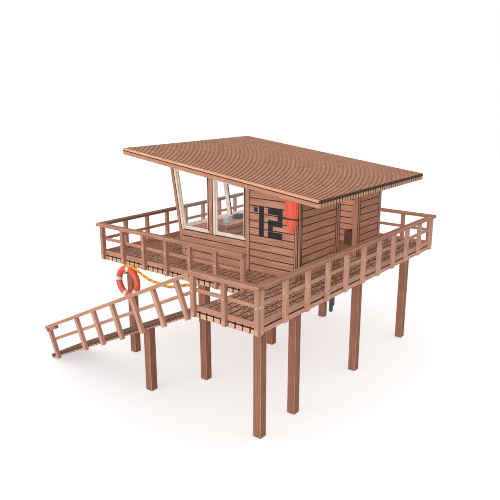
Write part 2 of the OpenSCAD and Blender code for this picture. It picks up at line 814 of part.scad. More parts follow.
module rescue_board() {
    r = board_tip_wide / 2;
    place() color([0.94, 0.40, 0.30]) stand(board_face, hut_y0) {
        polygon([[board_x0, board_top], [board_x0, board_low + board_taper], [board_x - r, board_low + r],
            [board_x + r, board_low + r], [board_x1, board_low + board_taper], [board_x1, board_top]]);
        translate([board_x, board_low + r]) circle(r = r);
    }
}

// Strap from the wall over the rescue board to the corner post
strap_thick = 10;
strap_up = 380;
strap_reach = 250;

module board_strap() {
    t = strap_thick;
    end = board_x0 - strap_reach;
    wall = hut_y0 + wall_set;
    place() color([0.2, 0.22, 0.28]) translate([0, 0, board_low + strap_up])
        linear_extrude(strap_wide) polygon([[end, wall], [board_x0, board_face], [board_x1, board_face],
            [hut_x1 - 2 * t, hut_y0], [hut_x1, hut_y0], [board_x1 + t / 2, board_face - t],
            [board_x0 - t / 2, board_face - t], [end - 2 * t, wall]]);
}

// Folded steel bracket that hangs from the platform's edge on the doorway side
bracket_in = 32;
bracket_drop = 420;
bracket_step = 150;

module iron_hook() {
    x1 = deck_x1 - bracket_in;
    x0 = x1 - bracket_wide;
    y = deck_y0 + hut_front_gap - 2 * bracket_wide;
    place() color([0.3, 0.31, 0.33]) {
        block([x0, y, deck_low - bracket_drop], [x1, y + bracket_wide, deck_low]);
        block([x0, y + bracket_wide, deck_low - bracket_drop + bracket_step],
            [x1, y + 2 * bracket_wide, deck_low]);
    }
}

main_piles();
ramp_pile();
deck_beams();
main_deck();
landing_deck();
ramp_deck();
ramp_beams();
front_railing();
sea_railing();
back_railing();
side_railing();
landing_railing();
ramp_railing();
hut_floor();
corner_posts();
front_wall();
front_apron();
front_window_posts();
front_window_frames();
front_glass();
back_wall();
back_apron();
back_window_posts();
back_window_frames();
back_glass();
sea_apron();
sea_window_frame();
sea_glass();
side_wall_left();
side_wall_right();
side_wall_over_door();
door_frame();
roof_bearers();
roof_planks();
roof_cover();
watch_desk();
desk_radio();
desk_box();
locker();
life_ring();
ring_peg();
ring_rope();
rescue_board();
board_strap();
iron_hook();
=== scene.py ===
import math
import random
from functools import partial

import bmesh
import bpy
from mathutils import Matrix, Vector


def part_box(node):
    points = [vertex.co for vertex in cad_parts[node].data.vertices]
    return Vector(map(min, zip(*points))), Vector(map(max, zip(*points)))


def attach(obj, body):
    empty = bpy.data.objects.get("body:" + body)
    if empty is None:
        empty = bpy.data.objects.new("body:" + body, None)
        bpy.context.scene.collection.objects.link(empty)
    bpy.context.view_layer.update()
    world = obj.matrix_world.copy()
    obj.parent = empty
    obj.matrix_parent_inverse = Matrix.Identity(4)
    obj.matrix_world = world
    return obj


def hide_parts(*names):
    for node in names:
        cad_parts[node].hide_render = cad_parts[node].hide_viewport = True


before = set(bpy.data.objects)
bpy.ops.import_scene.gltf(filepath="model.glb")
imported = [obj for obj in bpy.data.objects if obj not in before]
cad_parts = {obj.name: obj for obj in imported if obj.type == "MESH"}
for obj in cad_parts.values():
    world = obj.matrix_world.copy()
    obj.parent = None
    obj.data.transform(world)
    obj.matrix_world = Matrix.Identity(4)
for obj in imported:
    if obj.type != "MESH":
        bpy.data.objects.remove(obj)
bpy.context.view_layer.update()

# The camera stands off the doorway corner on the ramp's side, a little above the roof, where the
# photograph was taken from. Its place and lens come from fitting the platform, piles and roof.
camera_place = Vector((12.298, -15.392, 8.691))
camera_azimuth = math.radians(38.469)
camera_elevation = math.radians(15.098)
camera_lens = 43.578
camera_film = 36
camera_reach = 300
scene = bpy.context.scene
scene.view_settings.view_transform = "Standard"
# The photograph is crisp, so a point in the picture is drawn from little more than itself
scene.cycles.filter_width = 1.0


def aimed(name, data, towards):
    """A camera or a lamp in the scene that looks in a direction."""
    made = bpy.data.objects.new(name, data)
    made.rotation_mode = "QUATERNION"
    made.rotation_quaternion = towards.to_track_quat("-Z", "Y")
    scene.collection.objects.link(made)
    return made


camera_data = bpy.data.cameras.new("camera")
camera_data.lens = camera_lens
camera_data.sensor_width = camera_film
camera_data.clip_end = camera_reach
looking = Vector((-math.sin(camera_azimuth) * math.cos(camera_elevation),
                  math.cos(camera_azimuth) * math.cos(camera_elevation), -math.sin(camera_elevation)))
scene.camera = aimed("camera", camera_data, looking)
scene.camera.location = camera_place

# The studio is a pale floor at the sand's level under an even white sky. A wide soft sun comes from
# beyond the ramp, and a stronger fill without shadows lifts what is under the platform and the eaves.
sky_light = 0.67
sun_light = 0.42
sun_from = Vector((-0.18, -0.95, 0.24))
fill_light = 1.26
fill_from = Vector((0.30, -0.93, 0.17))
sun_spread = math.radians(30)
floor_reach = 60.0
floor_grey = 0.8
floor_glow = 0.50
white = (1, 1, 1, 1)


def add(tree, kind, inputs=(), **settings):
    """Adds a node. A kind in capitals is an operation of a Math node, and other short ones are shader
    nodes. inputs names sockets, or is a list for the sockets in use. Each input is a value, a socket
    to link from, or a node, which stands for its first output in use. settings are its options."""
    if kind.isupper():
        kind, settings = "Math", {"operation": kind}
    made = tree.nodes.new(kind if "Node" in kind else "ShaderNode" + kind)
    for name, value in settings.items():
        setattr(made, name, value)
    if isinstance(inputs, dict):
        given = [(made.inputs[name], value) for name, value in inputs.items()]
    else:
        given = zip([socket for socket in made.inputs if socket.enabled], inputs)
    for socket, value in given:
        if isinstance(value, bpy.types.Node):
            value = next(output for output in value.outputs if output.enabled)
        if isinstance(value, bpy.types.NodeSocket):
            tree.links.new(value, socket)
        else:
            socket.default_value = value
    return made


def new_material(name):
    """A material, and what adds nodes to its empty tree."""
    material = bpy.data.materials.new(name)
    material.use_nodes = True
    material.node_tree.nodes.clear()
    return material, partial(add, material.node_tree)


def object_of(name, mesh, material):
    """An object in the scene with a finished mesh."""
    mesh.materials.append(material)
    made = bpy.data.objects.new(name, mesh)
    scene.collection.objects.link(made)
    return made


for name, strength, origin, shadows in (("sun", sun_light, sun_from, True),
                                        ("fill", fill_light, fill_from, False)):
    lamp = bpy.data.lights.new(name, "SUN")
    lamp.energy = strength
    lamp.angle = sun_spread
    lamp.use_shadow = shadows
    aimed(name, lamp, -origin)

scene.world = bpy.data.worlds.new("white sky")
scene.world.use_nodes = True
scene.world.node_tree.nodes.clear()
sky = partial(add, scene.world.node_tree)
ray = sky("LightPath").outputs
seen = sky("MAXIMUM", [ray["Is Camera Ray"], ray["Is Glossy Ray"]])
seen = sky("MAXIMUM", [seen, ray["Is Transmission Ray"]])
level = sky("MapRange", {"Value": seen, "To Min": sky_light, "To Max": 1.0})
sky("OutputWorld", [sky("Background", [white, level])])

paper, shade = new_material("white paper floor")
matt = shade("BsdfDiffuse", [(floor_grey, floor_grey, floor_grey, 1)])
camera_ray = shade("LightPath").outputs["Is Camera Ray"]
glow = shade("MULTIPLY", [camera_ray, floor_glow])
shade("OutputMaterial", [shade("AddShader", [matt, shade("Emission", [white, glow])])])
floor_mesh = bpy.data.meshes.new("floor")
corners = [(x * floor_reach, y * floor_reach, 0) for x, y in ((-1, -1), (1, -1), (1, 1), (-1, 1))]
floor_mesh.from_pydata(corners, [], [(0, 1, 2, 3)])
object_of("floor", floor_mesh, paper)

# The piles are rough sawn softwood, 240 mm square, driven into the sand, with the beams bolted to
# their backs. Sawn faces are dull, with long fine grain, knots, and corners that the sand rubs pale.
sawn_ease = 0.008
planed_ease = 0.004
pile_colours = ("#A8755F", "#8D5E4B")
beam_colours = ("#8D5E4B", "#7C5040")
end_grain = "#C79C84"
worn_timber = "#D9B79F"
dirt_and_shade_colour = "#3A231D"
grain_wide = 0.030
grain_long = 0.9
patch_size = 0.35
knot_along = 0.45
knot_across = 0.22
check_wide = 0.032
check_long = 0.11
ring_wide = 0.022
pith_radius = 0.016
grain_relief = 0.002
dull = {"Specular IOR Level": 0.3}
sharp_corner = math.radians(25)


def linear(code):
    """An sRGB hex colour as linear red, green, blue and alpha."""
    parts = [int(code[i:i + 2], 16) / 255 for i in (1, 3, 5)]
    return [*(p / 12.92 if p <= 0.04045 else ((p + 0.055) / 1.055) ** 2.4 for p in parts), 1.0]


def surfaced(node, colour, rough, height, strength, depth, **values):
    """The shader at the end of a material's nodes, with a relief as deep as given, in metres."""
    bump = node("Bump", {"Height": height, "Strength": strength, "Distance": depth})
    surface = node("BsdfPrincipled", {"Base Color": colour, "Roughness": rough, "Normal": bump, **values})
    node("OutputMaterial", [surface])


def timber(name, colours, grain, joints=None, heart=None, turn=(0, 0, 0), checks=0.0):
    """Timber in a light and a dark colour and, where given, its ends' colour, with its grain along a
    unit axis, which turn lays along a slope. joints gives the axis number, the first joint, the pitch,
    half the width of the dirt and painted shade, and how many joints there are. heart gives the pith's
    height in each end, how far over it a painted shade line of the toe boards begins round the deck,
    and half the width of the rims of dirt and painted shade between the ends."""
    material, node = new_material(name)
    light, dark, end = (linear(code) for code in (*colours, end_grain)[:3])
    worn, dirt_and_shade_dark = linear(worn_timber), linear(dirt_and_shade_colour)
    place = node("TexCoord").outputs["Object"]
    place = node("Mapping", {"Vector": place, "Rotation": turn})
    fibres, knots, splits = ({"Vector": place, "Scale": [1 / along if g else 1 / across for g in grain]}
                             for along, across in ((grain_long, grain_wide), (knot_along, knot_across),
                                                   (check_long, check_wide)))
    normal = node("NewGeometry").outputs["True Normal"]
    up = node("SeparateXYZ", [normal]).outputs[2] if checks or heart else None

    # Long pale and dark fibres, cloudy patches, and each timber's own tone
    drawn = node("Mapping", fibres)
    fibre = node("TexNoise", {"Vector": drawn, "Scale": 1.0, "Detail": 4.0, "Roughness": 0.6})
    streak = node("MapRange", [fibre, 0.34, 0.66])
    colour = node("Mix", [streak, light, dark], data_type="RGBA")
    patch = node("TexNoise", {"Vector": place, "Scale": 1 / patch_size, "Detail": 2.0})
    tone = node("Attribute", attribute_name="tone").outputs["Fac"]
    value = node("MapRange", [patch, 0.3, 0.7, 0.94, 1.06])
    value = node("ADD", [value, tone])
    colour = node("HueSaturation", {"Color": colour, "Value": value})

    # Knots drawn out along the grain, short dark drying checks, and corners rubbed pale in places
    knot = node("TexVoronoi", {"Vector": node("Mapping", knots), "Scale": 1.0})
    marks = node("MapRange", [knot, 0.09, 0.04, 0.0, 0.28])
    if checks:
        split = node("TexNoise", {"Vector": node("Mapping", splits), "Scale": 1.0, "Detail": 1.0})
        split = node("MapRange", [split, 0.49, 0.54, 0.0, checks])
        split = node("MULTIPLY", [split, up])
        marks = node("MAXIMUM", [marks, split])
    edge = node("Attribute", attribute_name="worn").outputs["Fac"]
    rubbed = node("MULTIPLY", [edge, patch])

    # Dirt and painted shade near each joint, and none past the first and the last
    if joints:
        axis, first, pitch, half, count = joints
        reach = (count - 1) * pitch / 2
        apart = node("SeparateXYZ", [place]).outputs
        along = node("SUBTRACT", [apart[axis], first])
        near = node("PINGPONG", [along, pitch / 2])
        inner = node("SUBTRACT", [along, reach])
        inner = node("ABSOLUTE", [inner])
        beyond = node("SUBTRACT", [inner, reach])
        off = node("MAXIMUM", [near, beyond])
        dirt_and_shade = node("MapRange", [off, half * 1.15, half * 0.85])

    # Sawn ends, with rings round the pith drawn coarser than the real 5 mm ones, so that they show
    if heart:
        middle, line, rim = heart
        aside = node("SUBTRACT", [pitch / 2, near])
        over = node("SUBTRACT", [apart[2], middle])
        spot = node("CombineXYZ", [aside, over])
        far = node("VectorMath", [spot], operation="LENGTH")
        turns = node("MULTIPLY", [far, 2 * math.pi / ring_wide])
        wave = node("SINE", [turns])
        ringed = node("MapRange", [wave, -1.0, 1.0, 0.0, 0.16])
        pith = node("MapRange", [far, pith_radius, pith_radius / 2])
        # Dark rims of dirt and painted shade on the ends beside each joint
        rimmed = node("LESS_THAN", [off, rim])
        pith = node("MAXIMUM", [pith, rimmed])
        for amount, layer in ((ringed, dark), (pith, dirt_and_shade_dark)):
            end = node("Mix", [amount, end, layer], data_type="RGBA")
        # Painted shade: a dark line on all but the top faces above the pith, where the toe boards shade the
        # deck's edge
        edge = node("GREATER_THAN", [over, line])
        side = node("LESS_THAN", [up, 0.5])
        edge = node("MULTIPLY", [edge, side])
        dirt_and_shade = node("MAXIMUM", [dirt_and_shade, edge])
    facing = node("VectorMath", [normal, grain], operation="DOT_PRODUCT")
    facing = node("ABSOLUTE", [facing])
    ended = node("GREATER_THAN", [facing, 0.6])
    layers = [(marks, dirt_and_shade_dark), (rubbed, worn), (ended, end)]
    if joints:
        layers.append((dirt_and_shade, dirt_and_shade_dark))
    for amount, layer in layers:
        colour = node("Mix", [amount, colour, layer], data_type="RGBA")

    # Raised fibres and sunk checks, duller where the fibre is open
    raised = node("SUBTRACT", [fibre, marks])
    rough = node("MapRange", [fibre, 0.2, 0.8, 0.92, 0.74])
    surfaced(node, colour, rough, raised, 0.4, grain_relief, **dull)
    return material


def fix(piece, slot, *nodes):
    """The piece stays with the tower and stands for CAD nodes, which it hides. slot is not used."""
    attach(piece, "root")
    if nodes:
        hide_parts(*nodes)
    return piece


def ease_edges(solid, edges, ease, segments=1):
    """Takes sharp edges off and marks the new faces as the ones that wear."""
    worn = solid.faces.layers.float.new("worn")
    made = bmesh.ops.bevel(solid, geom=edges, offset=ease, segments=segments, affect="EDGES",
                           clamp_overlap=True)
    for face in made["faces"]:
        face[worn] = 1.0


def merged_copy(node):
    """A CAD node's mesh with its loose triangles joined into whole faces."""
    whole = bmesh.new()
    whole.from_mesh(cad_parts[node].data)
    bmesh.ops.remove_doubles(whole, verts=whole.verts, dist=0.0001)
    bmesh.ops.dissolve_limit(whole, angle_limit=math.radians(1), verts=whole.verts, edges=whole.edges)
    return whole


def solid_object(solid, name, material):
    """An object from a finished bmesh."""
    mesh = bpy.data.meshes.new(name)
    solid.to_mesh(mesh)
    solid.free()
    return object_of(name, mesh, material)


def eased(node, name, material, slot, ease=planed_ease):
    """A copy of a CAD node's mesh with its sharp edges taken off, which stands for the node."""
    whole = merged_copy(node)
    sharp = [e for e in whole.edges if len(e.link_faces) == 2 and e.calc_face_angle(0) > sharp_corner]
    ease_edges(whole, sharp, ease)
    return fix(solid_object(whole, name, material), slot, node)


# Sawn softwood: matt, with long raised fibres and a few knots
pile_wood = timber("rough sawn softwood piles", pile_colours, (0, 0, 1))
beam_wood = timber("rough sawn softwood beams", beam_colours, (1, 0, 0))
eased("main_piles", "sawn_piles", pile_wood, "pile_timber", sawn_ease)
eased("ramp_pile", "sawn_ramp_pile", pile_wood, "pile_timber", sawn_ease)
eased("deck_beams", "sawn_deck_beams", beam_wood, "pile_timber", sawn_ease)

# The platform is one layer of heavy square timbers laid side by side along the beach, with open
# joints, pinned to the beams. Their sawn ends show as pale squares in a row with the pith in each.
deck_low, deck_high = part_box("main_deck")
deck_top = deck_high[2]
deck_pitch = 0.218
deck_gap = 0.040
deck_dirt_and_shade = 0.021
end_rim_dirt_and_shade = 0.025
# The toe boards' shade along the top of the deck's ends and outer faces is painted, from this far over the
# pith
toe_shade_line = 0.050
pith_down = 0.010
deck_ease = 0.010
deck_colours = ("#E4AC92", "#C69179", "#E6B79A")
tone_spread = 0.07


def taken(part):
    """The points, faces and worn marks of a bmesh, which is then freed."""
    part.verts.index_update()
    layer = part.faces.layers.float.get("worn")
    made = ([v.co.copy() for v in part.verts], [[v.index for v in f.verts] for f in part.faces],
            [f[layer] if layer else 0.0 for f in part.faces])
    part.free()
    return made


def shape(low, high, ease, cuts=()):
    """Points, faces and worn marks of a box with eased edges, cut off beyond each plane, which is
    given by a point and its outward normal."""
    part = bmesh.new()
    bmesh.ops.create_cube(part, size=1)
    middle = (Vector(low) + Vector(high)) / 2
    size = Vector(high) - Vector(low)
    for v in part.verts:
        v.co = Vector([m + c * s for m, c, s in zip(middle, v.co, size)])
    for point, outward in cuts:
        everything = part.verts[:] + part.edges[:] + part.faces[:]
        made = bmesh.ops.bisect_plane(part, geom=everything, plane_co=point, plane_no=outward,
                                      clear_outer=True)
        rim = [e for e in made["geom_cut"] if isinstance(e, bmesh.types.BMEdge)]
        if rim:
            bmesh.ops.contextual_create(part, geom=rim)
    if ease and part.faces:
        ease_edges(part, part.edges[:], ease)
    return taken(part)


def moved(part, matrix):
    """A shape moved by a matrix."""
    return [matrix @ p for p in part[0]], *part[1:]


def piece_of(name, parts, material, seed=1, spread=tone_spread, tones=None):
    """One object made of several shapes, each a little lighter or darker than the next."""
    draw = random.Random(seed)
    points, faces, toned, worn = [], [], [], []
    for number, (part_points, part_faces, *marks) in enumerate(parts):
        start = len(points)
        shift = tones[number] if tones else draw.uniform(-spread, spread)
        points += part_points
        faces += [[start + i for i in face] for face in part_faces]
        toned += [shift] * len(part_points)
        worn += marks[0] if marks else [0.0] * len(part_faces)
    mesh = bpy.data.meshes.new(name)
    mesh.from_pydata(points, [], faces)
    mesh.attributes.new("tone", "FLOAT", "POINT").data.foreach_set("value", toned)
    mesh.attributes.new("worn", "FLOAT", "FACE").data.foreach_set("value", worn)
    return object_of(name, mesh, material)


# The tree for like pieces in a row: the piece, how many, the first one's place, the step to the
# next, and how much their tones spread
rows = bpy.data.node_groups.new("row of like pieces", "GeometryNodeTree")
row_inputs = {"Piece": "Object", "Count": "Int", "First": "Vector", "Step": "Vector", "Tone": "Float",
              "Seed": "Int", "Finish": "Material"}
for name, kind in row_inputs.items():
    rows.interface.new_socket(name=name, in_out="INPUT", socket_type="NodeSocket" + kind)
rows.interface.new_socket(name="Geometry", in_out="OUTPUT", socket_type="NodeSocketGeometry")
grow = partial(add, rows)
given = grow("NodeGroupInput").outputs
unit = grow("GeometryNodeObjectInfo", {"Object": given["Piece"]}).outputs["Geometry"]
line = grow("GeometryNodeMeshLine", [given["Count"], given["First"], given["Step"]], mode="OFFSET")
placed = grow("GeometryNodeInstanceOnPoints", {"Points": line, "Instance": unit})
lowest = grow("MULTIPLY", [given["Tone"], -1.0])
number = grow("GeometryNodeInputIndex")
tone = grow("FunctionNodeRandomValue", [lowest, given["Tone"], number, given["Seed"]],
           data_type="FLOAT")
marked = grow("GeometryNodeStoreNamedAttribute", {"Geometry": placed, "Name": "tone", "Value": tone},
             data_type="FLOAT", domain="INSTANCE")
solid = grow("GeometryNodeRealizeInstances", [marked])
finished = grow("GeometryNodeSetMaterial", {"Geometry": solid, "Material": given["Finish"]})
grow("NodeGroupOutput", [finished])


def row(name, unit, count, first, step, material, seed=1, spread=tone_spread):
    """Runs the row tree on one shape and turns the result into a plain mesh."""
    piece = piece_of(name + "_unit", [unit], material, spread=0)
    made = object_of(name, bpy.data.meshes.new(name), material)
    grown = made.modifiers.new("row", "NODES")
    grown.node_group = rows
    wanted = {"Piece": piece, "Count": count, "First": first, "Step": step, "Tone": spread, "Seed": seed,
              "Finish": material}
    for socket in rows.interface.items_tree:
        if socket.in_out == "INPUT":
            grown[socket.identifier] = wanted[socket.name]
    mesh = bpy.data.meshes.new_from_object(made.evaluated_get(bpy.context.evaluated_depsgraph_get()))
    made.modifiers.clear()
    made.data = mesh
    bpy.data.objects.remove(piece)
    return made


def laid_timbers(name, node, wood, seed):
    """Timbers along Y side by side over a CAD node's box, with open joints between them."""
    low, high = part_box(node)
    count = round((high[0] - low[0]) / deck_pitch)
    pitch = (high[0] - low[0] + deck_gap) / count
    first_joint = low[0] + pitch - deck_gap / 2
    # Heavy timber oiled by hand: brown on top, split by the sun, with dirt and painted shade in the
    # joints, and a painted shade line along the top of its ends and outer faces under the toe boards
    material = timber(wood, deck_colours, (0, 1, 0), checks=0.68,
                      joints=(0, first_joint, pitch, deck_dirt_and_shade, count - 1),
                      heart=((low[2] + high[2]) / 2 - pith_down, toe_shade_line, end_rim_dirt_and_shade))
    unit = shape((0, low[1], low[2]), (pitch - deck_gap, high[1], high[2]), deck_ease)
    fix(row(name, unit, count, (low[0], 0, 0), (pitch, 0, 0), material, seed), "deck_timber", node)


laid_timbers("platform_timbers", "main_deck", "oiled heavy deck timber", 11)

# The landing is laid the same way at its own pitch, so its timbers' ends are a little wider apart.
# It stands out from the platform at the doorway's end, and the ramp goes down from its sea side.
landing_low, landing_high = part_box("landing_deck")
laid_timbers("landing_timbers", "landing_deck", "oiled landing timber", 12)

# The ramp is boards laid across two sloping beams, with gaps that a shoe's edge can grip, and the
# ends of thin battens show in the beams' lower edge. The beams are cut level where they meet the
# sand and upright at the landing.
ramp_slope = math.radians(25.3)
ramp_low, ramp_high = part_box("ramp_deck")
beam_low, beam_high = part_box("ramp_beams")
ramp_board = 0.150
ramp_gap = 0.022
ramp_thick = 0.050
ramp_ease = 0.005
ramp_past = 0.150
beam_wide = 0.090
beam_in = 0.004
beam_ease = 0.004
beam_bottom = -ramp_thick - 0.100
seam_down = 0.050
seam_pitch = 0.046
seam_dark = 0.012
batten_first = 0.15
batten_wide = 0.118
batten_low = beam_bottom + 0.014
batten_high = batten_low + 0.030
batten_ease = 0.002
ramp_top_edge = Vector((landing_low[0], 0, landing_high[2]))
on_ramp = Matrix.Translation(ramp_top_edge) @ Matrix.Rotation(-ramp_slope, 4, "Y")
off_ramp = on_ramp.inverted()
ramp_length = (ramp_top_edge.x - ramp_low[0]) / math.cos(ramp_slope)
level_normal = off_ramp.to_3x3() @ Vector((0, 0, -1))
upright_normal = off_ramp.to_3x3() @ Vector((1, 0, 0))
ramp_cuts = [(off_ramp @ Vector((0, 0, 0)), level_normal), (off_ramp @ ramp_top_edge, upright_normal)]


def on_slope(low, high, ease):
    """A box in the ramp's own axes, cut at the sand and at the landing, laid on the slope."""
    return moved(shape(low, high, ease, ramp_cuts), on_ramp)


# Boards that wet sand and feet have darkened
ramp_wood = timber("sand darkened ramp boards", ("#936A58", "#704D40", "#80594A"), (0, 1, 0), checks=0.6)
board_count = round(ramp_length / ramp_board)
board_pitch = ramp_length / board_count
boards = [on_slope((i * board_pitch - ramp_length, ramp_low[1], -ramp_thick),
                   ((i + 1) * board_pitch - ramp_length - ramp_gap, ramp_high[1], 0), ramp_ease)
          for i in range(board_count)]
fix(piece_of("ramp_boards", boards, ramp_wood, seed=13), "deck_timber", "ramp_deck")
# Sawn beams, dark with sand and spray, with a dark line just under the boards and another along the middle
ramp_turn = (0, ramp_slope, 0)
ramp_level = (Matrix.Rotation(ramp_slope, 3, "Y") @ ramp_top_edge).z
ramp_beam_wood = timber("sawn ramp beams", ("#8F6552", "#6D493B"), (1, 0, 0), turn=ramp_turn, checks=0.8,
                        joints=(2, ramp_level - ramp_thick - seam_down, seam_pitch, seam_dark, 2))
beams = [on_slope((-ramp_length, y, beam_bottom), (ramp_past, y + beam_wide, -ramp_thick), beam_ease)
         for y in (beam_low[1] + beam_in, beam_high[1] - beam_wide - beam_in)]
fix(piece_of("sawn_ramp_beams", beams, ramp_beam_wood, seed=14), "pile_timber", "ramp_beams")
# The battens' sawn ends are clean and pale against the beam
batten_wood = timber("sawn batten ends", (*deck_colours[:2], "#C99C84"), (0, 1, 0))
battens = []
for i in range(board_count):
    start = (i + batten_first) * board_pitch - ramp_length
    for y in (beam_low[1], beam_high[1] - beam_wide):
        part = on_slope((start, y, batten_low), (start + batten_wide, y + beam_wide, batten_high),
                        batten_ease)
        if part[1]:
            battens.append(part)
fix(piece_of("ramp_battens", battens, batten_wood, seed=15), "pile_timber")

# The level railings are planed timber: square posts bolted to the platform's edge, a flat top
# rail on them, and a middle and a bottom board on their inner faces, joined at every third post.
post = 0.120
post_foot = 0.025
post_chamfer = 0.040
cap_wide = 0.190
cap_thick = 0.100
cap_ease = 0.012
toe_gap = 0.008
toe_high = 0.130
middle_rail = 0.540
board_high = 0.095
board_thick = 0.050
board_notch = 0.005
rail_high = 1.070
rail_bay = 1.000
rail_joint = 3
rail_ease = 0.006
rail_colours = ("#CB967D", "#AC7A64", "#AC7A64")
door_side_lightened_colours = ("#D2A48D", "#BA8A74", "#BA8A74")
cap_colours = ("#C48F77", "#A06E59", "#A06E59")
# Planed timber: silky, paler than the deck, with the plane's fine stripes along it
rail_x = timber("planed rail timber along the ramp side", rail_colours, (1, 0, 0))
rail_y = timber("planed rail timber along the sea side", rail_colours, (0, 1, 0))
rail_z = timber("planed post timber", ("#C6917A", "#AA7A64"), (0, 0, 1))
# The doorway side is a lighter copy of the rail timber, painted light that makes up for the shade on its
# faces
lightened_rail_y = timber("rail timber painted lighter against shade", door_side_lightened_colours, (0, 1, 0))
lightened_post_z = timber("post timber painted lighter against shade", door_side_lightened_colours[:2], (0, 0, 1))
# Hands and sitting have darkened the top rails, and salt the one by the sea
cap_x = timber("handled top rail along the ramp side", cap_colours, (1, 0, 0))
cap_y = timber("handled top rail along the doorway side", cap_colours, (0, 1, 0))
salt_cap = timber("salt darkened top rail", ("#9F705C", "#845A49", "#845A49"), (0, 1, 0))
runs = {}


def railing(node, along, start, stop, edge, out, cap, board, seed, woods):
    """A railing from start to stop along axis 0 or 1, on an edge, with its outside towards out.
    cap and board say how far past start and stop the top rail and the boards end."""
    def at(u, v, z):
        return (u, v, z) if along == 0 else (v, u, z)

    def between(u0, u1, v0, v1, z0, z1, ease=rail_ease, cuts=()):
        a, b = at(u0, v0, z0), at(u1, v1, z1)
        return shape([min(p) for p in zip(a, b)], [max(p) for p in zip(a, b)], ease, cuts)

    post_wood, board_wood, cap_wood = woods
    bays = round((stop - start - post) / rail_bay)
    bay = (stop - start - post) / bays
    places = [start + post / 2 + i * bay for i in range(bays + 1)]
    runs[node] = along, places, edge, out
    outer = edge + out * post
    foot = deck_low[2] + post_foot
    under = deck_top + rail_high - cap_thick
    chamfer = (at(0, outer, foot + post_chamfer), at(0, out, -1))
    unit = between(-post / 2, post / 2, edge, outer, foot, under, cuts=[chamfer])
    posts = row(node + "_posts", unit, bays + 1, at(places[0], 0, 0), at(bay, 0, 0), post_wood, seed)
    fix(posts, "rail_timber", node)
    joints = places[rail_joint:-1:rail_joint]
    ends = [start + cap[0], *joints, stop + cap[1]]
    middle = edge + out * post / 2
    caps = [between(a, b, middle - cap_wide / 2, middle + cap_wide / 2, under, under + cap_thick, cap_ease)
            for a, b in zip(ends, ends[1:])]
    fix(piece_of(node + "_top_rail", caps, cap_wood, seed + 1), "rail_timber")
    ends = [start + board[0], *joints, stop + board[1]]
    notch, inner = edge + out * board_notch, edge - out * board_thick
    heights = (toe_gap, toe_high), (middle_rail - board_high / 2, board_high)
    rails = [between(a, b, notch, inner, deck_top + low, deck_top + low + high)
             for low, high in heights for a, b in zip(ends, ends[1:])]
    fix(piece_of(node + "_rails", rails, board_wood, seed + 2), "rail_timber")


cap_in = (cap_wide - post) / 2
cap_out = (cap_wide + post) / 2
board_in = board_thick + 0.001
corner_x = landing_low[0] + post
ramp_side = (rail_z, rail_x, cap_x)
sea_side = (rail_z, rail_y, salt_cap)
door_side = (lightened_post_z, lightened_rail_y, cap_y)
railing("front_railing", 0, deck_low[0], corner_x, deck_low[1], -1, (-cap_out, 0), (0, 0), 21, ramp_side)
railing("back_railing", 0, deck_low[0], deck_high[0], deck_high[1], 1, (-cap_out, cap_out), (0, 0), 24,
        ramp_side)
railing("sea_railing", 1, deck_low[1], deck_high[1], deck_low[0], -1, (cap_in, -cap_in),
        (board_in, -board_in), 27, sea_side)
railing("side_railing", 1, landing_low[1], deck_high[1], deck_high[0], 1, (cap_in, -cap_in),
        (board_in, -board_in), 30, door_side)
railing("landing_railing", 0, landing_low[0], deck_high[0] + post, landing_low[1], -1, (0, cap_in),
        (0, -post), 33, ramp_side)

# The ramp's railing follows the slope: posts that stand a little more upright than square to it,
# the same flat top rail with a block under its low end, and one middle rail.
slope_high = 0.930
slope_middle = 0.430
slope_down = 0.060
slope_lean = math.radians(2.5)
slope_pitch = 0.978
slope_first = -0.240
slope_bays = 5
slope_last_bay = 1.670
slope_past = 0.080
block_long = 0.550
feet = [slope_first - i * slope_pitch for i in range(slope_bays + 1)]
feet.append(feet[-1] - slope_last_bay)
slope_end = feet[-1] - slope_past
slope_y = ramp_low[1] - post / 2
slope_under = slope_high - cap_thick
leaning_posts = []
for u in feet:
    stand = Matrix.Translation((u, slope_y, 0)) @ Matrix.Rotation(slope_lean, 4, "Y")
    back = stand.inverted()
    cuts = [(back @ Vector((u, slope_y, slope_under)), back.to_3x3() @ Vector((0, 0, 1))),
            (back @ ramp_cuts[0][0], back.to_3x3() @ level_normal)]
    part = shape((-post / 2, -post / 2, beam_bottom - slope_down), (post / 2, post / 2, slope_high),
                 rail_ease, cuts)
    leaning_posts.append(moved(part, on_ramp @ stand))
# The same planed timber as the level railings, its grain turned to run down the slope
slope_post_wood = timber("planed ramp post timber", ("#D1A189", "#BB8A76"), (0, 0, 1),
                         turn=(0, ramp_slope - slope_lean, 0))
slope_wood = timber("planed ramp rail timber", rail_colours, (1, 0, 0), turn=ramp_turn)
fix(piece_of("leaning_ramp_posts", leaning_posts, slope_post_wood, 36), "rail_timber", "ramp_railing")
slope_rails = [
    on_slope((slope_end, slope_y - cap_wide / 2, slope_under),
             (slope_high, slope_y + cap_wide / 2, slope_high), cap_ease),
    on_slope((slope_end, slope_y - post / 2, slope_under - cap_thick),
             (slope_end + block_long, slope_y + post / 2, slope_under), rail_ease),
    on_slope((feet[-1], ramp_low[1] - board_notch, slope_middle - board_high / 2),
             (slope_high, ramp_low[1] + board_thick, slope_middle + board_high / 2), rail_ease)]
fix(piece_of("planed_ramp_rails", slope_rails, slope_wood, 37), "rail_timber")

# The hut stands on four heavy corner posts. The two by the doorway are upright, and the two by
# the sea lean out with the glass. They are planed and stained like the walls.
wall_colours = ("#CF987F", "#A6725C", "#8A5E4C")
# Stained timber: an even red-brown film with the grain showing through it
post_wood = timber("stained corner post timber", wall_colours, (0, 0, 1))
eased("corner_posts", "planed_corner_posts", post_wood, "rail_timber", rail_ease)

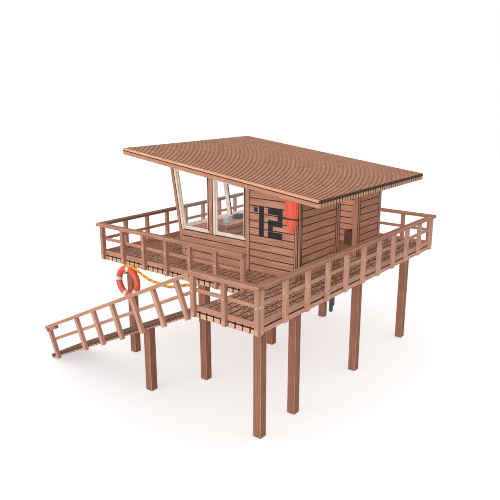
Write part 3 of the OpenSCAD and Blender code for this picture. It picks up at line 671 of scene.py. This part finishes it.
# The floor is planed boards along the beach, nailed down tight over the platform's timbers.
# It is raised by its own thickness at the doorway.
floor_low, floor_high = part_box("hut_floor")
floor_board = 0.145
floor_joint = 0.002
floor_grime = 0.004
floor_ease = 0.003
floor_count = round((floor_high[0] - floor_low[0]) / floor_board)
floor_pitch = (floor_high[0] - floor_low[0]) / floor_count
# Floor boards walked dull by sandy feet, with dirt in the joints
floor_wood = timber("planed floor boards", ("#A9765F", "#94634F"), (0, 1, 0), checks=0.2,
                    joints=(0, floor_low[0] + floor_pitch, floor_pitch, floor_grime, floor_count - 1))
unit = shape((0, floor_low[1], floor_low[2]), (floor_pitch - floor_joint, floor_high[1], floor_high[2]),
             floor_ease)
fix(row("floor_boards", unit, floor_count, (floor_low[0], 0, 0), (floor_pitch, 0, 0), floor_wood, 41),
    "deck_timber", "hut_floor")

# The walls are thick boards laid edge on edge, 226 mm from joint to joint, with a chamfer on each
# edge and dirt and painted shade in the groove, which make a dark line at every joint, inside and
# out. They are cut to the roof's slope.
siding = 0.226
siding_ease = 0.009
siding_dirt_and_shade = 0.015
siding_joints = 12
wall_tones = 0.05
roof_low, roof_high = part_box("roof_planks")
roof_plank = 0.175
roof_fall = (roof_high[2] - roof_low[2] - roof_plank) / (roof_high[0] - roof_low[0])
roof_plane = (Vector((roof_high[0], 0, roof_low[2])), Vector((roof_fall, 0, 1)).normalized())
# Wall boards stained red-brown, dry and matt, with black dirt and painted shade in every joint
wall_joints = (2, deck_top + siding, siding, siding_dirt_and_shade, siding_joints)
wall_x = timber("stained wall boards across the hut", wall_colours, (1, 0, 0), joints=wall_joints)
wall_y = timber("stained wall boards along the hut", wall_colours, (0, 1, 0), joints=wall_joints)


def board_wall(name, node, material, seed, cuts=()):
    """Wall boards over a CAD node's box, from the platform's joints up, cut by the roof and planes."""
    low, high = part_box(node)
    boards = []
    first = math.floor((low[2] - deck_top) / siding + 0.01)
    for i in range(first, math.ceil((high[2] - deck_top) / siding)):
        z0 = max(low[2], deck_top + i * siding)
        z1 = min(high[2], deck_top + (i + 1) * siding)
        part = shape((low[0], low[1], z0), (high[0], high[1], z1), siding_ease, [roof_plane, *cuts])
        if part[1]:
            boards.append(part)
    fix(piece_of(name, boards, material, seed, wall_tones), "wall_timber", node)


board_wall("front_wall_boards", "front_wall", wall_x, 51)
board_wall("back_wall_boards", "back_wall", wall_x, 52)
board_wall("left_wall_boards", "side_wall_left", wall_y, 53)
board_wall("right_wall_boards", "side_wall_right", wall_y, 54)
board_wall("boards_over_the_doorway", "side_wall_over_door", wall_y, 55)

# Under the windows the same boards run up to the sill. The sea ends of those at the sides follow
# the leaning posts, and the sea wall leans as a whole.
wall_lean = math.radians(9.2)
lean_out = Vector((-math.cos(wall_lean), 0, -math.sin(wall_lean)))
apron_low, apron_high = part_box("front_apron")
lean_edge = (Vector((apron_low[0], 0, apron_high[2])), lean_out)
board_wall("front_apron_boards", "front_apron", wall_x, 56, [lean_edge])
board_wall("back_apron_boards", "back_apron", wall_x, 57, [lean_edge])
sea_low, sea_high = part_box("sea_apron")
lean_outer = (Vector((sea_low[0], 0, sea_high[2])), lean_out)
lean_inner = (Vector((sea_high[0], 0, sea_low[2])), -lean_out)
board_wall("sea_apron_boards", "sea_apron", wall_y, 58, [lean_outer, lean_inner])

# The windows stand between heavy stained posts in frames painted cream. Their single panes are
# held by cream beads on both faces.
bead_thick = 0.014
bead_wide = 0.034
pane_area = 0.5
face_order = Vector((1.0, 3.7, 11.3))
window_post_wood = timber("stained window post timber", wall_colours, (0, 0, 1))
for side in ("front", "back"):
    eased(side + "_window_posts", side + "_planed_window_posts", window_post_wood, "rail_timber")


def coated(name, colour, faded, worn, fleck, depth, roughness, metallic=0.0, alpha=1.0, patch=0.30):
    """A painted, moulded or metal surface: clouded towards its faded colour in patches, rubbed to
    the worn colour on its edges, with a relief of flecks as wide and as deep as given, in metres."""
    material, node = new_material(name)
    place = node("TexCoord").outputs["Object"]
    cloud = node("TexNoise", {"Vector": place, "Scale": 1 / patch, "Detail": 3.0})
    clouded = node("MapRange", [cloud, 0.35, 0.65])
    mixed = node("Mix", [clouded, linear(colour), linear(faded)], data_type="RGBA")
    tone = node("Attribute", attribute_name="tone").outputs["Fac"]
    value = node("ADD", [tone, 1.0])
    mixed = node("HueSaturation", {"Color": mixed, "Value": value})
    edge = node("Attribute", attribute_name="worn").outputs["Fac"]
    rubbed = node("MULTIPLY", [edge, clouded])
    mixed = node("Mix", [rubbed, mixed, linear(worn)], data_type="RGBA")
    relief = node("TexNoise", {"Vector": place, "Scale": 1 / fleck, "Detail": 2.0})
    rough = node("MapRange", [relief, 0.3, 0.7, roughness - 0.07, roughness + 0.07])
    surfaced(node, mixed, rough, relief, 0.5, depth, Metallic=metallic, Alpha=alpha)
    return material


# Satin paint brushed on: a little yellowed, brown where the edges have rubbed through
cream = coated("brushed satin cream paint", "#F4E8DA", "#EBDCC9", "#C9A58C", 0.012, 0.0006, 0.42)
for node in ("front_window_frames", "back_window_frames", "sea_window_frame"):
    eased(node, "painted_" + node, cream, "frame_paint")
# Float glass, clear and flat, with a breath of salt that takes a little of its polish
clear = coated("salted clear float glass", "#F6FBFA", "#FFFFFF", "#FFFFFF", 0.020, 0.0, 0.10, alpha=0.03)
for side in ("front", "back", "sea"):
    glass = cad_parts[side + "_glass"].data
    glass.materials.clear()
    glass.materials.append(clear)
    whole = merged_copy(side + "_glass")
    panes = [f for f in whole.faces if f.calc_area() > pane_area]
    rest = [f for f in whole.faces if f.calc_area() <= pane_area]
    bmesh.ops.delete(whole, geom=rest, context="FACES")
    border = bmesh.ops.inset_individual(whole, faces=panes, thickness=bead_wide, use_even_offset=True)
    inside = [f for f in whole.faces if f not in border["faces"]]
    bmesh.ops.delete(whole, geom=inside, context="FACES")
    bmesh.ops.solidify(whole, geom=whole.faces[:], thickness=-bead_thick)
    bmesh.ops.recalc_face_normals(whole, faces=whole.faces)
    # Solidify gives the faces in no fixed order, so they are put in one
    whole.faces.sort(key=lambda f: f.calc_center_median().dot(face_order))
    fix(solid_object(whole, side + "_glazing_beads", cream), "frame_paint")

# The doorway has a lining through the wall and a flat trim on the outside, planed and stained.
# It has no leaf: the hut stands open on the platform's side.
trim_wood = timber("stained doorway trim", ("#C08B73", "#AC7862", "#AC7862"), (0, 0, 1))
eased("door_frame", "planed_door_frame", trim_wood, "rail_timber")

# Black tarred strips are painted shade lines: where the wall boards meet the posts, the doorway's
# trim and the sills, on the corner post, and where the posts and the sea mullion meet the window
# frames, whose stiles beside the posts they cover. They show as thin black lines.
strip_wide = 0.020
strip_proud = 0.004
strip_ease = 0.001
side_strip = 0.032
trim_wide = 0.170
trim_line = 0.034
trim_in = 0.002
mullion_half = 0.060
mullion_line = 0.055
corner_line = 0.085
edge_band = 0.054
edge_round = 0.012
post_line = 0.030
stile_wide = 0.076
casing_ease = 0.002
wall_set = 0.008
frame_set = 0.045
hut_post = 0.150
jamb_wide = 0.152
window_post_wide = 0.192
hut_low, hut_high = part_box("corner_posts")
wall_low, wall_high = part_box("front_wall")
door_low, door_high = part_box("door_frame")
sill_top = apron_high[2]
stile_low = sill_top + stile_wide
hut_top = roof_high[2]
hut_end = hut_high[0]
corner_left = hut_end - corner_line - strip_wide
sill_line = (sill_top - strip_wide, sill_top - strip_ease)
jamb_left = wall_low[0] - jamb_wide
middle_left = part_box("front_window_posts")[0][0]
middle_right = middle_left + window_post_wide
lean_right = apron_low[0]


def strip_x(x0, x1, face, out, z0, z1):
    """A strip on a face that looks along Y, towards out."""
    y0, y1 = sorted((face - out * strip_proud, face + out * strip_proud))
    return shape((x0, y0, z0), (x1, y1, z1), strip_ease, [roof_plane])


def leaned(part):
    """An upright strip leaned with the sea side's posts from the top of the sill."""
    return [Vector((p.x - (p.z - sill_top) * math.tan(wall_lean), p.y, p.z)) for p in part[0]], *part[1:]


def casing(x, face, frame_face):
    """A painted casing on the frame's stile beside a post, as thick as the post stands out."""
    y0, y1 = sorted((face, frame_face))
    return shape((x, y0, sill_top), (x + stile_wide, y1, hut_top), casing_ease, [roof_plane])


shade_strips, casings = [], []
for face, out in ((hut_low[1], -1), (hut_high[1], 1)):
    boards_face = face - out * wall_set
    frame_face = face - out * frame_set
    shade_strips += [strip_x(corner_left, corner_left + strip_wide, face, out, deck_top, hut_top),
               strip_x(hut_end - edge_band, hut_end - edge_round, face, out, deck_top, hut_top),
               strip_x(wall_low[0], wall_low[0] + strip_wide, boards_face, out, deck_top, hut_top),
               strip_x(wall_high[0] - strip_wide, wall_high[0], boards_face, out, deck_top, hut_top),
               strip_x(apron_low[0], jamb_left, boards_face, out, *sill_line),
               strip_x(jamb_left - stile_wide, jamb_left, frame_face, out, stile_low, hut_top),
               strip_x(middle_left - stile_wide, middle_left, frame_face, out, stile_low, hut_top),
               strip_x(middle_right - post_line, middle_right, face, out, sill_top, hut_top),
               leaned(strip_x(lean_right - post_line, lean_right, face, out, sill_top, hut_top))]
    casings += [casing(middle_right, face, frame_face), leaned(casing(lean_right, face, frame_face))]
mullion_edge = (hut_low[1] + hut_high[1]) / 2 + mullion_half
shade_strips.append(leaned(shape((lean_right - strip_proud, mullion_edge - mullion_line, stile_low),
                           (lean_right + strip_proud, mullion_edge, hut_top), strip_ease, [roof_plane])))
for y in (door_low[1] + trim_in, door_low[1] + trim_wide - trim_line, door_high[1] - trim_wide,
          door_high[1] - trim_line - trim_in):
    shade_strips.append(shape((door_high[0] - strip_proud, y, deck_top),
                        (door_high[0] + strip_proud, y + trim_line, door_high[2] - trim_wide), strip_ease))
side_face = hut_end - wall_set
for y, x in ((hut_low[1] + corner_line, hut_end), (hut_low[1] + hut_post, side_face),
             (door_low[1] - side_strip, side_face), (door_high[1], side_face),
             (hut_high[1] - hut_post - side_strip, side_face)):
    shade_strips.append(shape((x - strip_proud, y, deck_top), (x + strip_proud, y + side_strip, hut_top),
                        strip_ease, [roof_plane]))
# Tar brushed on softwood: black, matt and lumpy, laid on as painted shade
shade_tar = coated("brushed tar as painted shade", "#2A1C18", "#36251F", "#4A342B", 0.010, 0.0008, 0.75)
fix(piece_of("tarred_strips", shade_strips, shade_tar, spread=0), "wall_timber")
# The casings hide the joint between a post and its window frame, in the frames' cream paint
fix(piece_of("painted_casings", casings, cream, spread=0), "frame_paint")

# The roof is one layer of planks down the slope on bearers, over a lining set back under the eaves
# that keeps the drips off the walls. Narrow cover boards lie on top. A thick black felt between the
# layers is a dark line of painted shade round the edge, and the cover boards' ends are painted dark as shade.
roof_ease = 0.009
roof_pitch = 0.150
roof_tones = 0.09
plank_colours = ("#CF997D", "#B17D64", "#D3A486")
lining_colours = ("#CF997D", "#B17D64", "#8A5E4C")
cover_colours_shaded_ends = ("#FFBA95", "#D69474", "#6A493B")
plank_gap = 0.008
plank_dirt_and_shade = 0.022
lining_dirt_and_shade = 0.012
cover_thick = 0.075
cover_gap = 0.010
cover_dirt_and_shade = 0.031
eaves_step = 0.045
felt_thick = 0.028
felt_proud = 0.006
felt_ease = 0.002
bearer_ease = 0.005
bearer_wood = timber("sawn roof bearers", pile_colours, (0, 1, 0))
eased("roof_bearers", "sawn_bearers", bearer_wood, "pile_timber", bearer_ease)


def sloped(part):
    """A level shape raised to the roof's slope."""
    return [p + Vector((0, 0, (roof_high[0] - p.x) * roof_fall)) for p in part[0]], *part[1:]


def roof_layer(name, node, low_z, thick, gap, joint_dirt_and_shade, colours, wood, seed, set_back=0):
    """Boards down the slope side by side over a roof node, with a joint between each two. set_back
    leaves out that many boards at each verge and as much of their length at the ends."""
    low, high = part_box(node)
    count = round((high[1] - low[1]) / roof_pitch)
    pitch = (high[1] - low[1] + gap) / count
    # Each joint is darkened with dirt and painted shade
    material = timber(wood, colours, (1, 0, 0), checks=0.25,
                      joints=(1, low[1] + pitch - gap / 2, pitch, joint_dirt_and_shade, count - 1))
    back = set_back * pitch
    bottom = low[2] + low_z
    unit = sloped(shape((low[0] + back, 0, bottom), (high[0] - back, pitch - gap, bottom + thick), roof_ease))
    made = row(name, unit, count - 2 * set_back, (0, low[1] + back, 0), (0, pitch, 0), material, seed,
               roof_tones)
    fix(made, "roof_timber", *([] if set_back else [node]))


# Roof planks stained on their faces only, so their sawn ends are pale, and a lining stained all over
roof_layer("roof_plank_boards", "roof_planks", eaves_step, roof_plank - eaves_step, plank_gap, plank_dirt_and_shade,
           plank_colours, "stained roof planks", 61)
roof_layer("roof_lining_boards", "roof_planks", 0, eaves_step, plank_gap, lining_dirt_and_shade, lining_colours,
           "stained roof lining", 63, set_back=1)
# Cover boards paled by the weather, with black joints of dirt and painted shade, and ends painted dark as
# shade
roof_layer("roof_cover_boards", "roof_cover", 0, cover_thick, cover_gap, cover_dirt_and_shade, cover_colours_shaded_ends,
           "weathered roof cover boards, ends painted as shade", 62)
# Bitumen felt: black, rough with mineral grit 2 mm wide, drawn at 8 mm so that it shows. It is laid thick, as
# painted shade between the layers
felt_as_shade = coated("gritted black felt as painted shade", "#33241F", "#2A1D19", "#4A3830", 0.008, 0.001, 0.9)
felt_middle = roof_low[2] + roof_plank
sheet = sloped(shape((roof_low[0] - felt_proud, roof_low[1] - felt_proud, felt_middle - felt_thick / 2),
                     (roof_high[0] + felt_proud, roof_high[1] + felt_proud, felt_middle + felt_thick / 2),
                     felt_ease))
fix(piece_of("roofing_felt", [sheet], felt_as_shade, spread=0), "roof_timber")

# The tower's number is plain stencil blocks of dark painted board, screwed to the ramp side wall.
# Its places are written from the middle of the pile at the doorway corner.
datum = Vector((3.89127, -2.902, 0.480))
digits_low = 3.905
digit_high = 0.873
bar = digit_high / 5
stroke = 0.175
number_wide = 0.521
stencil_slot = 0.005
number_proud = 0.006
number_sunk = 0.002
dash_left, dash_wide, dash_low, dash_high = -2.540, 0.133, 4.615, 0.135
one_left = -2.351
two_left = -2.019


def number_block(x, wide, z, high):
    """One stencil block on the wall, from its left edge and its bottom."""
    low = Vector((datum.x + x, wall_low[1] - number_proud, datum.z + z))
    return shape(low, low + Vector((wide, number_proud + number_sunk, high)), number_sunk)


blocks = [number_block(dash_left, dash_wide, dash_low, dash_high),
          number_block(one_left, stroke, digits_low, digit_high)]
blocks += [number_block(two_left, number_wide, digits_low + i * bar, bar) for i in (0, 2, 4)]
blocks += [number_block(left, stroke, digits_low + i * bar + stencil_slot, bar - 2 * stencil_slot)
           for left, i in ((two_left, 1), (two_left + number_wide - stroke, 3))]
# Exterior paint brushed on plywood blocks: nearly black, chalky, with brush marks
number_paint = coated("chalky blue-black paint", "#15141A", "#1F1E25", "#4B4644", 0.015, 0.0008, 0.7)
fix(piece_of("stencil_number", blocks, number_paint, spread=0), "strap_web")

# The rescue board hangs by a dark strap beside the doorway corner. It is a moulded orange-red
# shell with rounded edges, a raised spine down its middle and a tip drawn in to a round nose.
shell_low, shell_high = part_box("rescue_board")
shell_middle = (shell_low[0] + shell_high[0]) / 2
shell_half = (shell_high[0] - shell_low[0]) / 2
shell_round = 0.035
shell_steps = 4
taper_high = 0.310
tip_radius = 0.100
tip_steps = 12
spine_half = 0.085
spine_tip = 0.045
spine_out = 0.016
spine_down = 0.012
spine_thin = 0.010
spine_round = 0.012
spine_steps = 2
moulded_wear = 0.5
strap_ease = 0.002


def moulded(half, top, tip, y_back, y_front, rounding, steps):
    """A form stood up between two depths, its front edge rounded: half a width at the top, straight
    to the taper, then in to a round tip."""
    taper = shell_low[2] + taper_high
    nose = shell_low[2] + tip_radius
    turn = [math.pi * i / tip_steps for i in range(tip_steps + 1)]
    outline = [(shell_middle + half, top), (shell_middle - half, top), (shell_middle - half, taper),
               *((shell_middle - tip * math.cos(a), nose - tip * math.sin(a)) for a in turn),
               (shell_middle + half, taper)]
    solid = bmesh.new()
    back = solid.faces.new([solid.verts.new((x, y_back, z)) for x, z in outline])
    for v in bmesh.ops.extrude_face_region(solid, geom=[back])["geom"]:
        if isinstance(v, bmesh.types.BMVert):
            v.co.y = y_front
    bmesh.ops.recalc_face_normals(solid, faces=solid.faces)
    front = [e for e in solid.edges if all(abs(v.co.y - y_front) < 0.0001 for v in e.verts)]
    ease_edges(solid, front, rounding, steps)
    points, faces, worn = taken(solid)
    return points, faces, [mark * moulded_wear for mark in worn]


body = moulded(shell_half, shell_high[2], tip_radius, shell_high[1], shell_low[1] + spine_out, shell_round,
               shell_steps)
spine = moulded(spine_half, shell_high[2] - spine_down, spine_tip, shell_high[1] - spine_thin, shell_low[1],
                spine_round, spine_steps)
# Rotomoulded polyethylene: satin, bleached in patches, with the mould's fine orange peel
shell = coated("rotomoulded orange-red polyethylene", "#EC684E", "#E85E46", "#F58A72", 0.010, 0.0006, 0.42)
# The spine is drawn lighter and the body a little darker, a painted highlight down the board's middle
fix(piece_of("moulded_rescue_board", [body, spine], shell, tones=[-0.03, 0.10]), "board_shell",
    "rescue_board")
# Polyester webbing: dark teal with a dull sheen, woven in 3 mm ribs that are drawn 20 mm wide
rib_wide = 0.020
rib_deep = 0.001
webbing, node = new_material("woven polyester webbing")
place = node("TexCoord").outputs["Object"]
ribs = node("TexWave", {"Vector": place, "Scale": 1 / rib_wide, "Distortion": 1.5},
           bands_direction="X").outputs["Fac"]
mixed = node("Mix", [ribs, linear("#1E262E"), linear("#37444E")], data_type="RGBA")
rough = node("MapRange", {"Value": ribs, "To Min": 0.9, "To Max": 0.7})
surfaced(node, mixed, rough, ribs, 0.6, rib_deep, **dull)
eased("board_strap", "woven_strap", webbing, "strap_web", strap_ease)

# Inside stand the watch desk along the leaning window, with the instrument box and the radio on
# it, and a low dark locker against the back wall. A lamp under the ceiling lights the room.
desk_ease = 0.008
box_ease = 0.006
room_light = 60.0
room_lamp_long = 3.4
room_lamp_wide = 3.8
room_lamp_high = 2.2
# Varnished softwood: glossier than the walls, with its grain clear
desk_wood = timber("varnished desk board", ("#CB9A82", "#B5846C", "#8F6450"), (0, 1, 0))
eased("watch_desk", "varnished_desk", desk_wood, "desk_top", desk_ease)
# Stove enamel on sheet steel: pale grey-green, smooth, chipped dark at the edges
box_paint = coated("stoved grey-green enamel", "#A5C2BC", "#93B3AC", "#3E4A4A", 0.030, 0.0003, 0.35)
eased("desk_box", "enamelled_instrument_box", box_paint, "box_paint", box_ease)
# Moulded ABS: black, with a fine spark-eroded grain that takes the shine off
radio_plastic = coated("grained black ABS", "#26292B", "#303336", "#4A4E50", 0.008, 0.0005, 0.55)
eased("desk_radio", "radio_case", radio_plastic, "radio_case", desk_ease)
# Stained pine, darker than the walls and dull with dust
locker_wood = timber("dark stained locker", ("#6A493D", "#573A30", "#573A30"), (0, 0, 1))
eased("locker", "stained_locker", locker_wood, "locker_paint", box_ease)
room_lamp = bpy.data.lights.new("room lamp", "AREA")
room_lamp.shape = "RECTANGLE"
room_lamp.size = room_lamp_long
room_lamp.size_y = room_lamp_wide
room_lamp.energy = room_light
lamp = bpy.data.objects.new("room lamp", room_lamp)
lamp.location = (*((low + high) / 2 for low, high in zip(floor_low[:2], floor_high[:2])),
                 deck_top + room_lamp_high)
lamp.visible_camera = False
lamp.visible_glossy = False
scene.collection.objects.link(lamp)

# The life ring hangs on an iron peg in the far pile. It is orange-red foam with four pale bands
# of wrapped tape.
ring_low, ring_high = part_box("life_ring")
ring_middle = (ring_low + ring_high) / 2
tube = (ring_high[1] - ring_low[1]) / 2
round_radius = (ring_high[0] - ring_low[0]) / 2 - tube
ring_steps = 96
tube_steps = 32
band_angles = (171, 83, -34, -107)
band_half = 8
band_proud = 0.003
band_steps = 6


def skin(rings, closed=False):
    """Points and faces of a skin over rings of points, closed on itself or with flat ends."""
    around, count = len(rings[0]), len(rings)
    faces = []
    for i in range(count if closed else count - 1):
        a, b = i * around, (i + 1) % count * around
        faces += [[a + j, a + (j + 1) % around, b + (j + 1) % around, b + j] for j in range(around)]
    if not closed:
        faces += [list(range(around - 1, -1, -1)), [(count - 1) * around + j for j in range(around)]]
    return [point for ring in rings for point in ring], faces


def circle(radius, sides):
    """Points once round a circle."""
    angles = [2 * math.pi * j / sides for j in range(sides)]
    return [(radius * math.cos(b), radius * math.sin(b)) for b in angles]


def ring_part(from_angle, to_angle, radius, steps):
    """Part of the ring's tube between two angles in degrees, seen from the ramp side."""
    closed = to_angle - from_angle >= 360
    rings = []
    for i in range(steps if closed else steps + 1):
        a = math.radians(from_angle + (to_angle - from_angle) * i / steps)
        out, up = math.cos(a), math.sin(a)
        rings.append([ring_middle + Vector(((round_radius + u) * out, v, (round_radius + u) * up))
                      for u, v in circle(radius, tube_steps)])
    return skin(rings, closed)


def smooth_sides(piece):
    """Turns every face outwards and shades the four-sided ones smooth."""
    whole = bmesh.new()
    whole.from_mesh(piece.data)
    bmesh.ops.recalc_face_normals(whole, faces=whole.faces)
    whole.to_mesh(piece.data)
    whole.free()
    for face in piece.data.polygons:
        face.use_smooth = len(face.vertices) == 4
    return piece


# Closed cell foam in a painted skin: bright, slightly mottled, and dull with salt
foam = coated("skinned orange-red foam", "#F0664A", "#E85A40", "#F2866E", 0.012, 0.001, 0.55, patch=0.12)
life_ring = piece_of("foam_life_ring", [ring_part(0, 360, tube, ring_steps)], foam, spread=0)
fix(smooth_sides(life_ring), "ring_foam", "life_ring")
# Reflective tape: pale mint, smoother than the foam, crazed in small cells
tape = coated("pale mint reflective tape", "#E4F4EC", "#CFE9DD", "#E4F4EC", 0.008, 0.0003, 0.35, patch=0.05)
bands = [ring_part(a - band_half, a + band_half, tube + band_proud, band_steps) for a in band_angles]
fix(smooth_sides(piece_of("ring_bands", bands, tape, spread=0)), "ring_foam")
# Hot dipped iron: dark grey, dull, with a faint crystal pattern
iron = coated("hot dipped dark iron", "#55585A", "#484B4D", "#6E7072", 0.015, 0.0005, 0.55, metallic=0.3)
eased("ring_peg", "forged_ring_peg", iron, "dark_iron")

# The ring's line is three-strand laid rope, 80 mm thick and dyed yellow-orange. It goes from the
# top of the ring over the ramp to the landing's first railing post, and sags between them.
rope_across = 0.080
rope_step = 0.024
lay_length = 0.42
strand = rope_across / 2 / (1 + 2 / math.sqrt(3))
strand_off = rope_across / 2 - strand
strand_full = 1.28
strand_sides = 8
strand_tones = [-0.40, 0.04, 0.20]
fine_steps = 2000
# The route's points in millimetres: from the ring's top, from the datum, and from the post's foot
ring_top = Vector((ring_middle.x, ring_middle.y, ring_high[2]))
tie = Vector((landing_low[0], landing_low[1], deck_top))
from_ring = [(0, -51, -13), (0, -67, 15), (84, -92, 29), (304, -112, 39)]
between_ends = [(-5900, -360, 2632), (-5700, -410, 2596), (-5500, -465, 2562), (-5300, -520, 2540),
                (-5080, -600, 2535), (-4870, -670, 2541), (-4560, -785, 2577), (-4260, -900, 2630),
                (-3850, -1060, 2682), (-3390, -1260, 2785), (-2850, -1520, 2980), (-2350, -1760, 3175)]
to_post = [(-280, 176, 552), (-40, 111, 625), (40, 66, 645), (40, 0.3, 645)]
parts = (ring_top, from_ring), (datum, between_ends), (tie, to_post)
route = [start + Vector(p) / 1000 for start, part in parts for p in part]


def along_route(t):
    """The point at a part t, from 0 to 1, of the smooth line through the route's points."""
    last = len(route) - 1
    k = min(int(t * last), last - 1)
    u = t * last - k
    a, b, c, d = route[max(k - 1, 0)], route[k], route[k + 1], route[min(k + 2, last)]
    return 0.5 * (2 * b + (c - a) * u + (2 * a - 5 * b + 4 * c - d) * u * u
                  + (3 * b - a - 3 * c + d) * u ** 3)


# The route again at even steps, and its length
fine = [along_route(i / fine_steps) for i in range(fine_steps + 1)]
rope_length = sum((q - p).length for p, q in zip(fine, fine[1:]))
last = round(rope_length / rope_step)
rope_line, gone = [fine[0]], 0.0
for p, q in zip(fine, fine[1:]):
    gone += (q - p).length
    if gone >= rope_length / last * len(rope_line) and len(rope_line) < last:
        rope_line.append(q)
rope_line.append(fine[-1])
strands = []
for number in range(3):
    rings = []
    for i, p in enumerate(rope_line):
        ahead = (rope_line[min(i + 1, last)] - rope_line[max(i - 1, 0)]).normalized()
        side = ahead.cross(Vector((0, 0, 1))).normalized()
        up = side.cross(ahead)
        twist = 2 * math.pi * (number / 3 + i * rope_length / last / lay_length)
        centre = p + strand_off * (math.cos(twist) * side + math.sin(twist) * up)
        rings.append([centre + u * side + v * up for u, v in circle(strand * strand_full, strand_sides)])
    strands.append(skin(rings))
# Polypropylene split film: yellow-orange, fibrous, a little hairy and faded on top
fibre = coated("laid polypropylene fibre", "#FBB136", "#EEA229", "#F8C060", 0.007, 0.002, 0.75, patch=0.06)
rope = smooth_sides(piece_of("laid_rope", strands, fibre, tones=strand_tones))
fix(rope, "rope_fibre", "ring_rope")

# A folded steel bracket hangs from the platform's edge by the doorway, and galvanised coach bolts
# with wide washers hold every post to the platform and the rails to the posts.
bracket_ease = 0.003
eased("iron_hook", "folded_steel_bracket", iron, "dark_iron", bracket_ease)
washer_radius = 0.032
washer_thick = 0.005
head_radius = 0.021
head_high = 0.013
bolt_sunk = 0.002
bolt_sides = 10
bolt_profile = ((washer_radius, -bolt_sunk), (washer_radius, washer_thick), (head_radius, washer_thick),
                (head_radius * 0.7, head_high))
bolt_heights = (deck_low[2] + post_foot + 0.085, deck_top - 0.030, deck_top + middle_rail)


def bolt(along, out):
    """A washer and a domed head on a face that looks towards out, across the railing's run."""
    return skin([[Vector((u, out * proud, v)) if along == 0 else Vector((out * proud, u, v))
                  for u, v in circle(radius, bolt_sides)] for radius, proud in bolt_profile])


# Galvanised steel gone pinkish with the timber's sap, dull, with a crystal pattern
bolt_steel = coated("galvanised bolt steel", "#DCC6BA", "#CDB3A6", "#E8DCD4", 0.010, 0.0004, 0.5,
                    metallic=0.2, patch=0.08)
for node, (along, places, edge, out) in runs.items():
    face = edge + out * post
    step = places[1] - places[0]
    # The front railing's last post has the landing against it, so no bolt shows there
    count = len(places) - (node == "front_railing")
    for number, z in enumerate(bolt_heights):
        first = (places[0], face, z) if along == 0 else (face, places[0], z)
        step_by = (step, 0, 0) if along == 0 else (0, step, 0)
        bolts = row(f"{node}_bolts_{number + 1}", bolt(along, out), count, first, step_by, bolt_steel,
                    spread=0)
        fix(smooth_sides(bolts), "dark_iron")

# One larger bolt ties the corner post of the landing to the side railing. It is newer than the
# others, so its zinc is still bright and bluish.
tie_scale = 1.25
tie_in = 0.045
tie_high = 3.32
blue_steel = coated("bright zinc bolt steel", "#C3D0D6", "#AEBDC4", "#E0E8EC", 0.010, 0.0004, 0.45,
                    metallic=0.2, patch=0.08)
tie_place = Vector((deck_high[0] + post, landing_low[1] - tie_in, datum.z + tie_high))
points, faces = bolt(1, 1)
tie_bolt = piece_of("corner_tie_bolt", [([p * tie_scale + tie_place for p in points], faces)], blue_steel,
                    spread=0)
fix(smooth_sides(tie_bolt), "dark_iron")
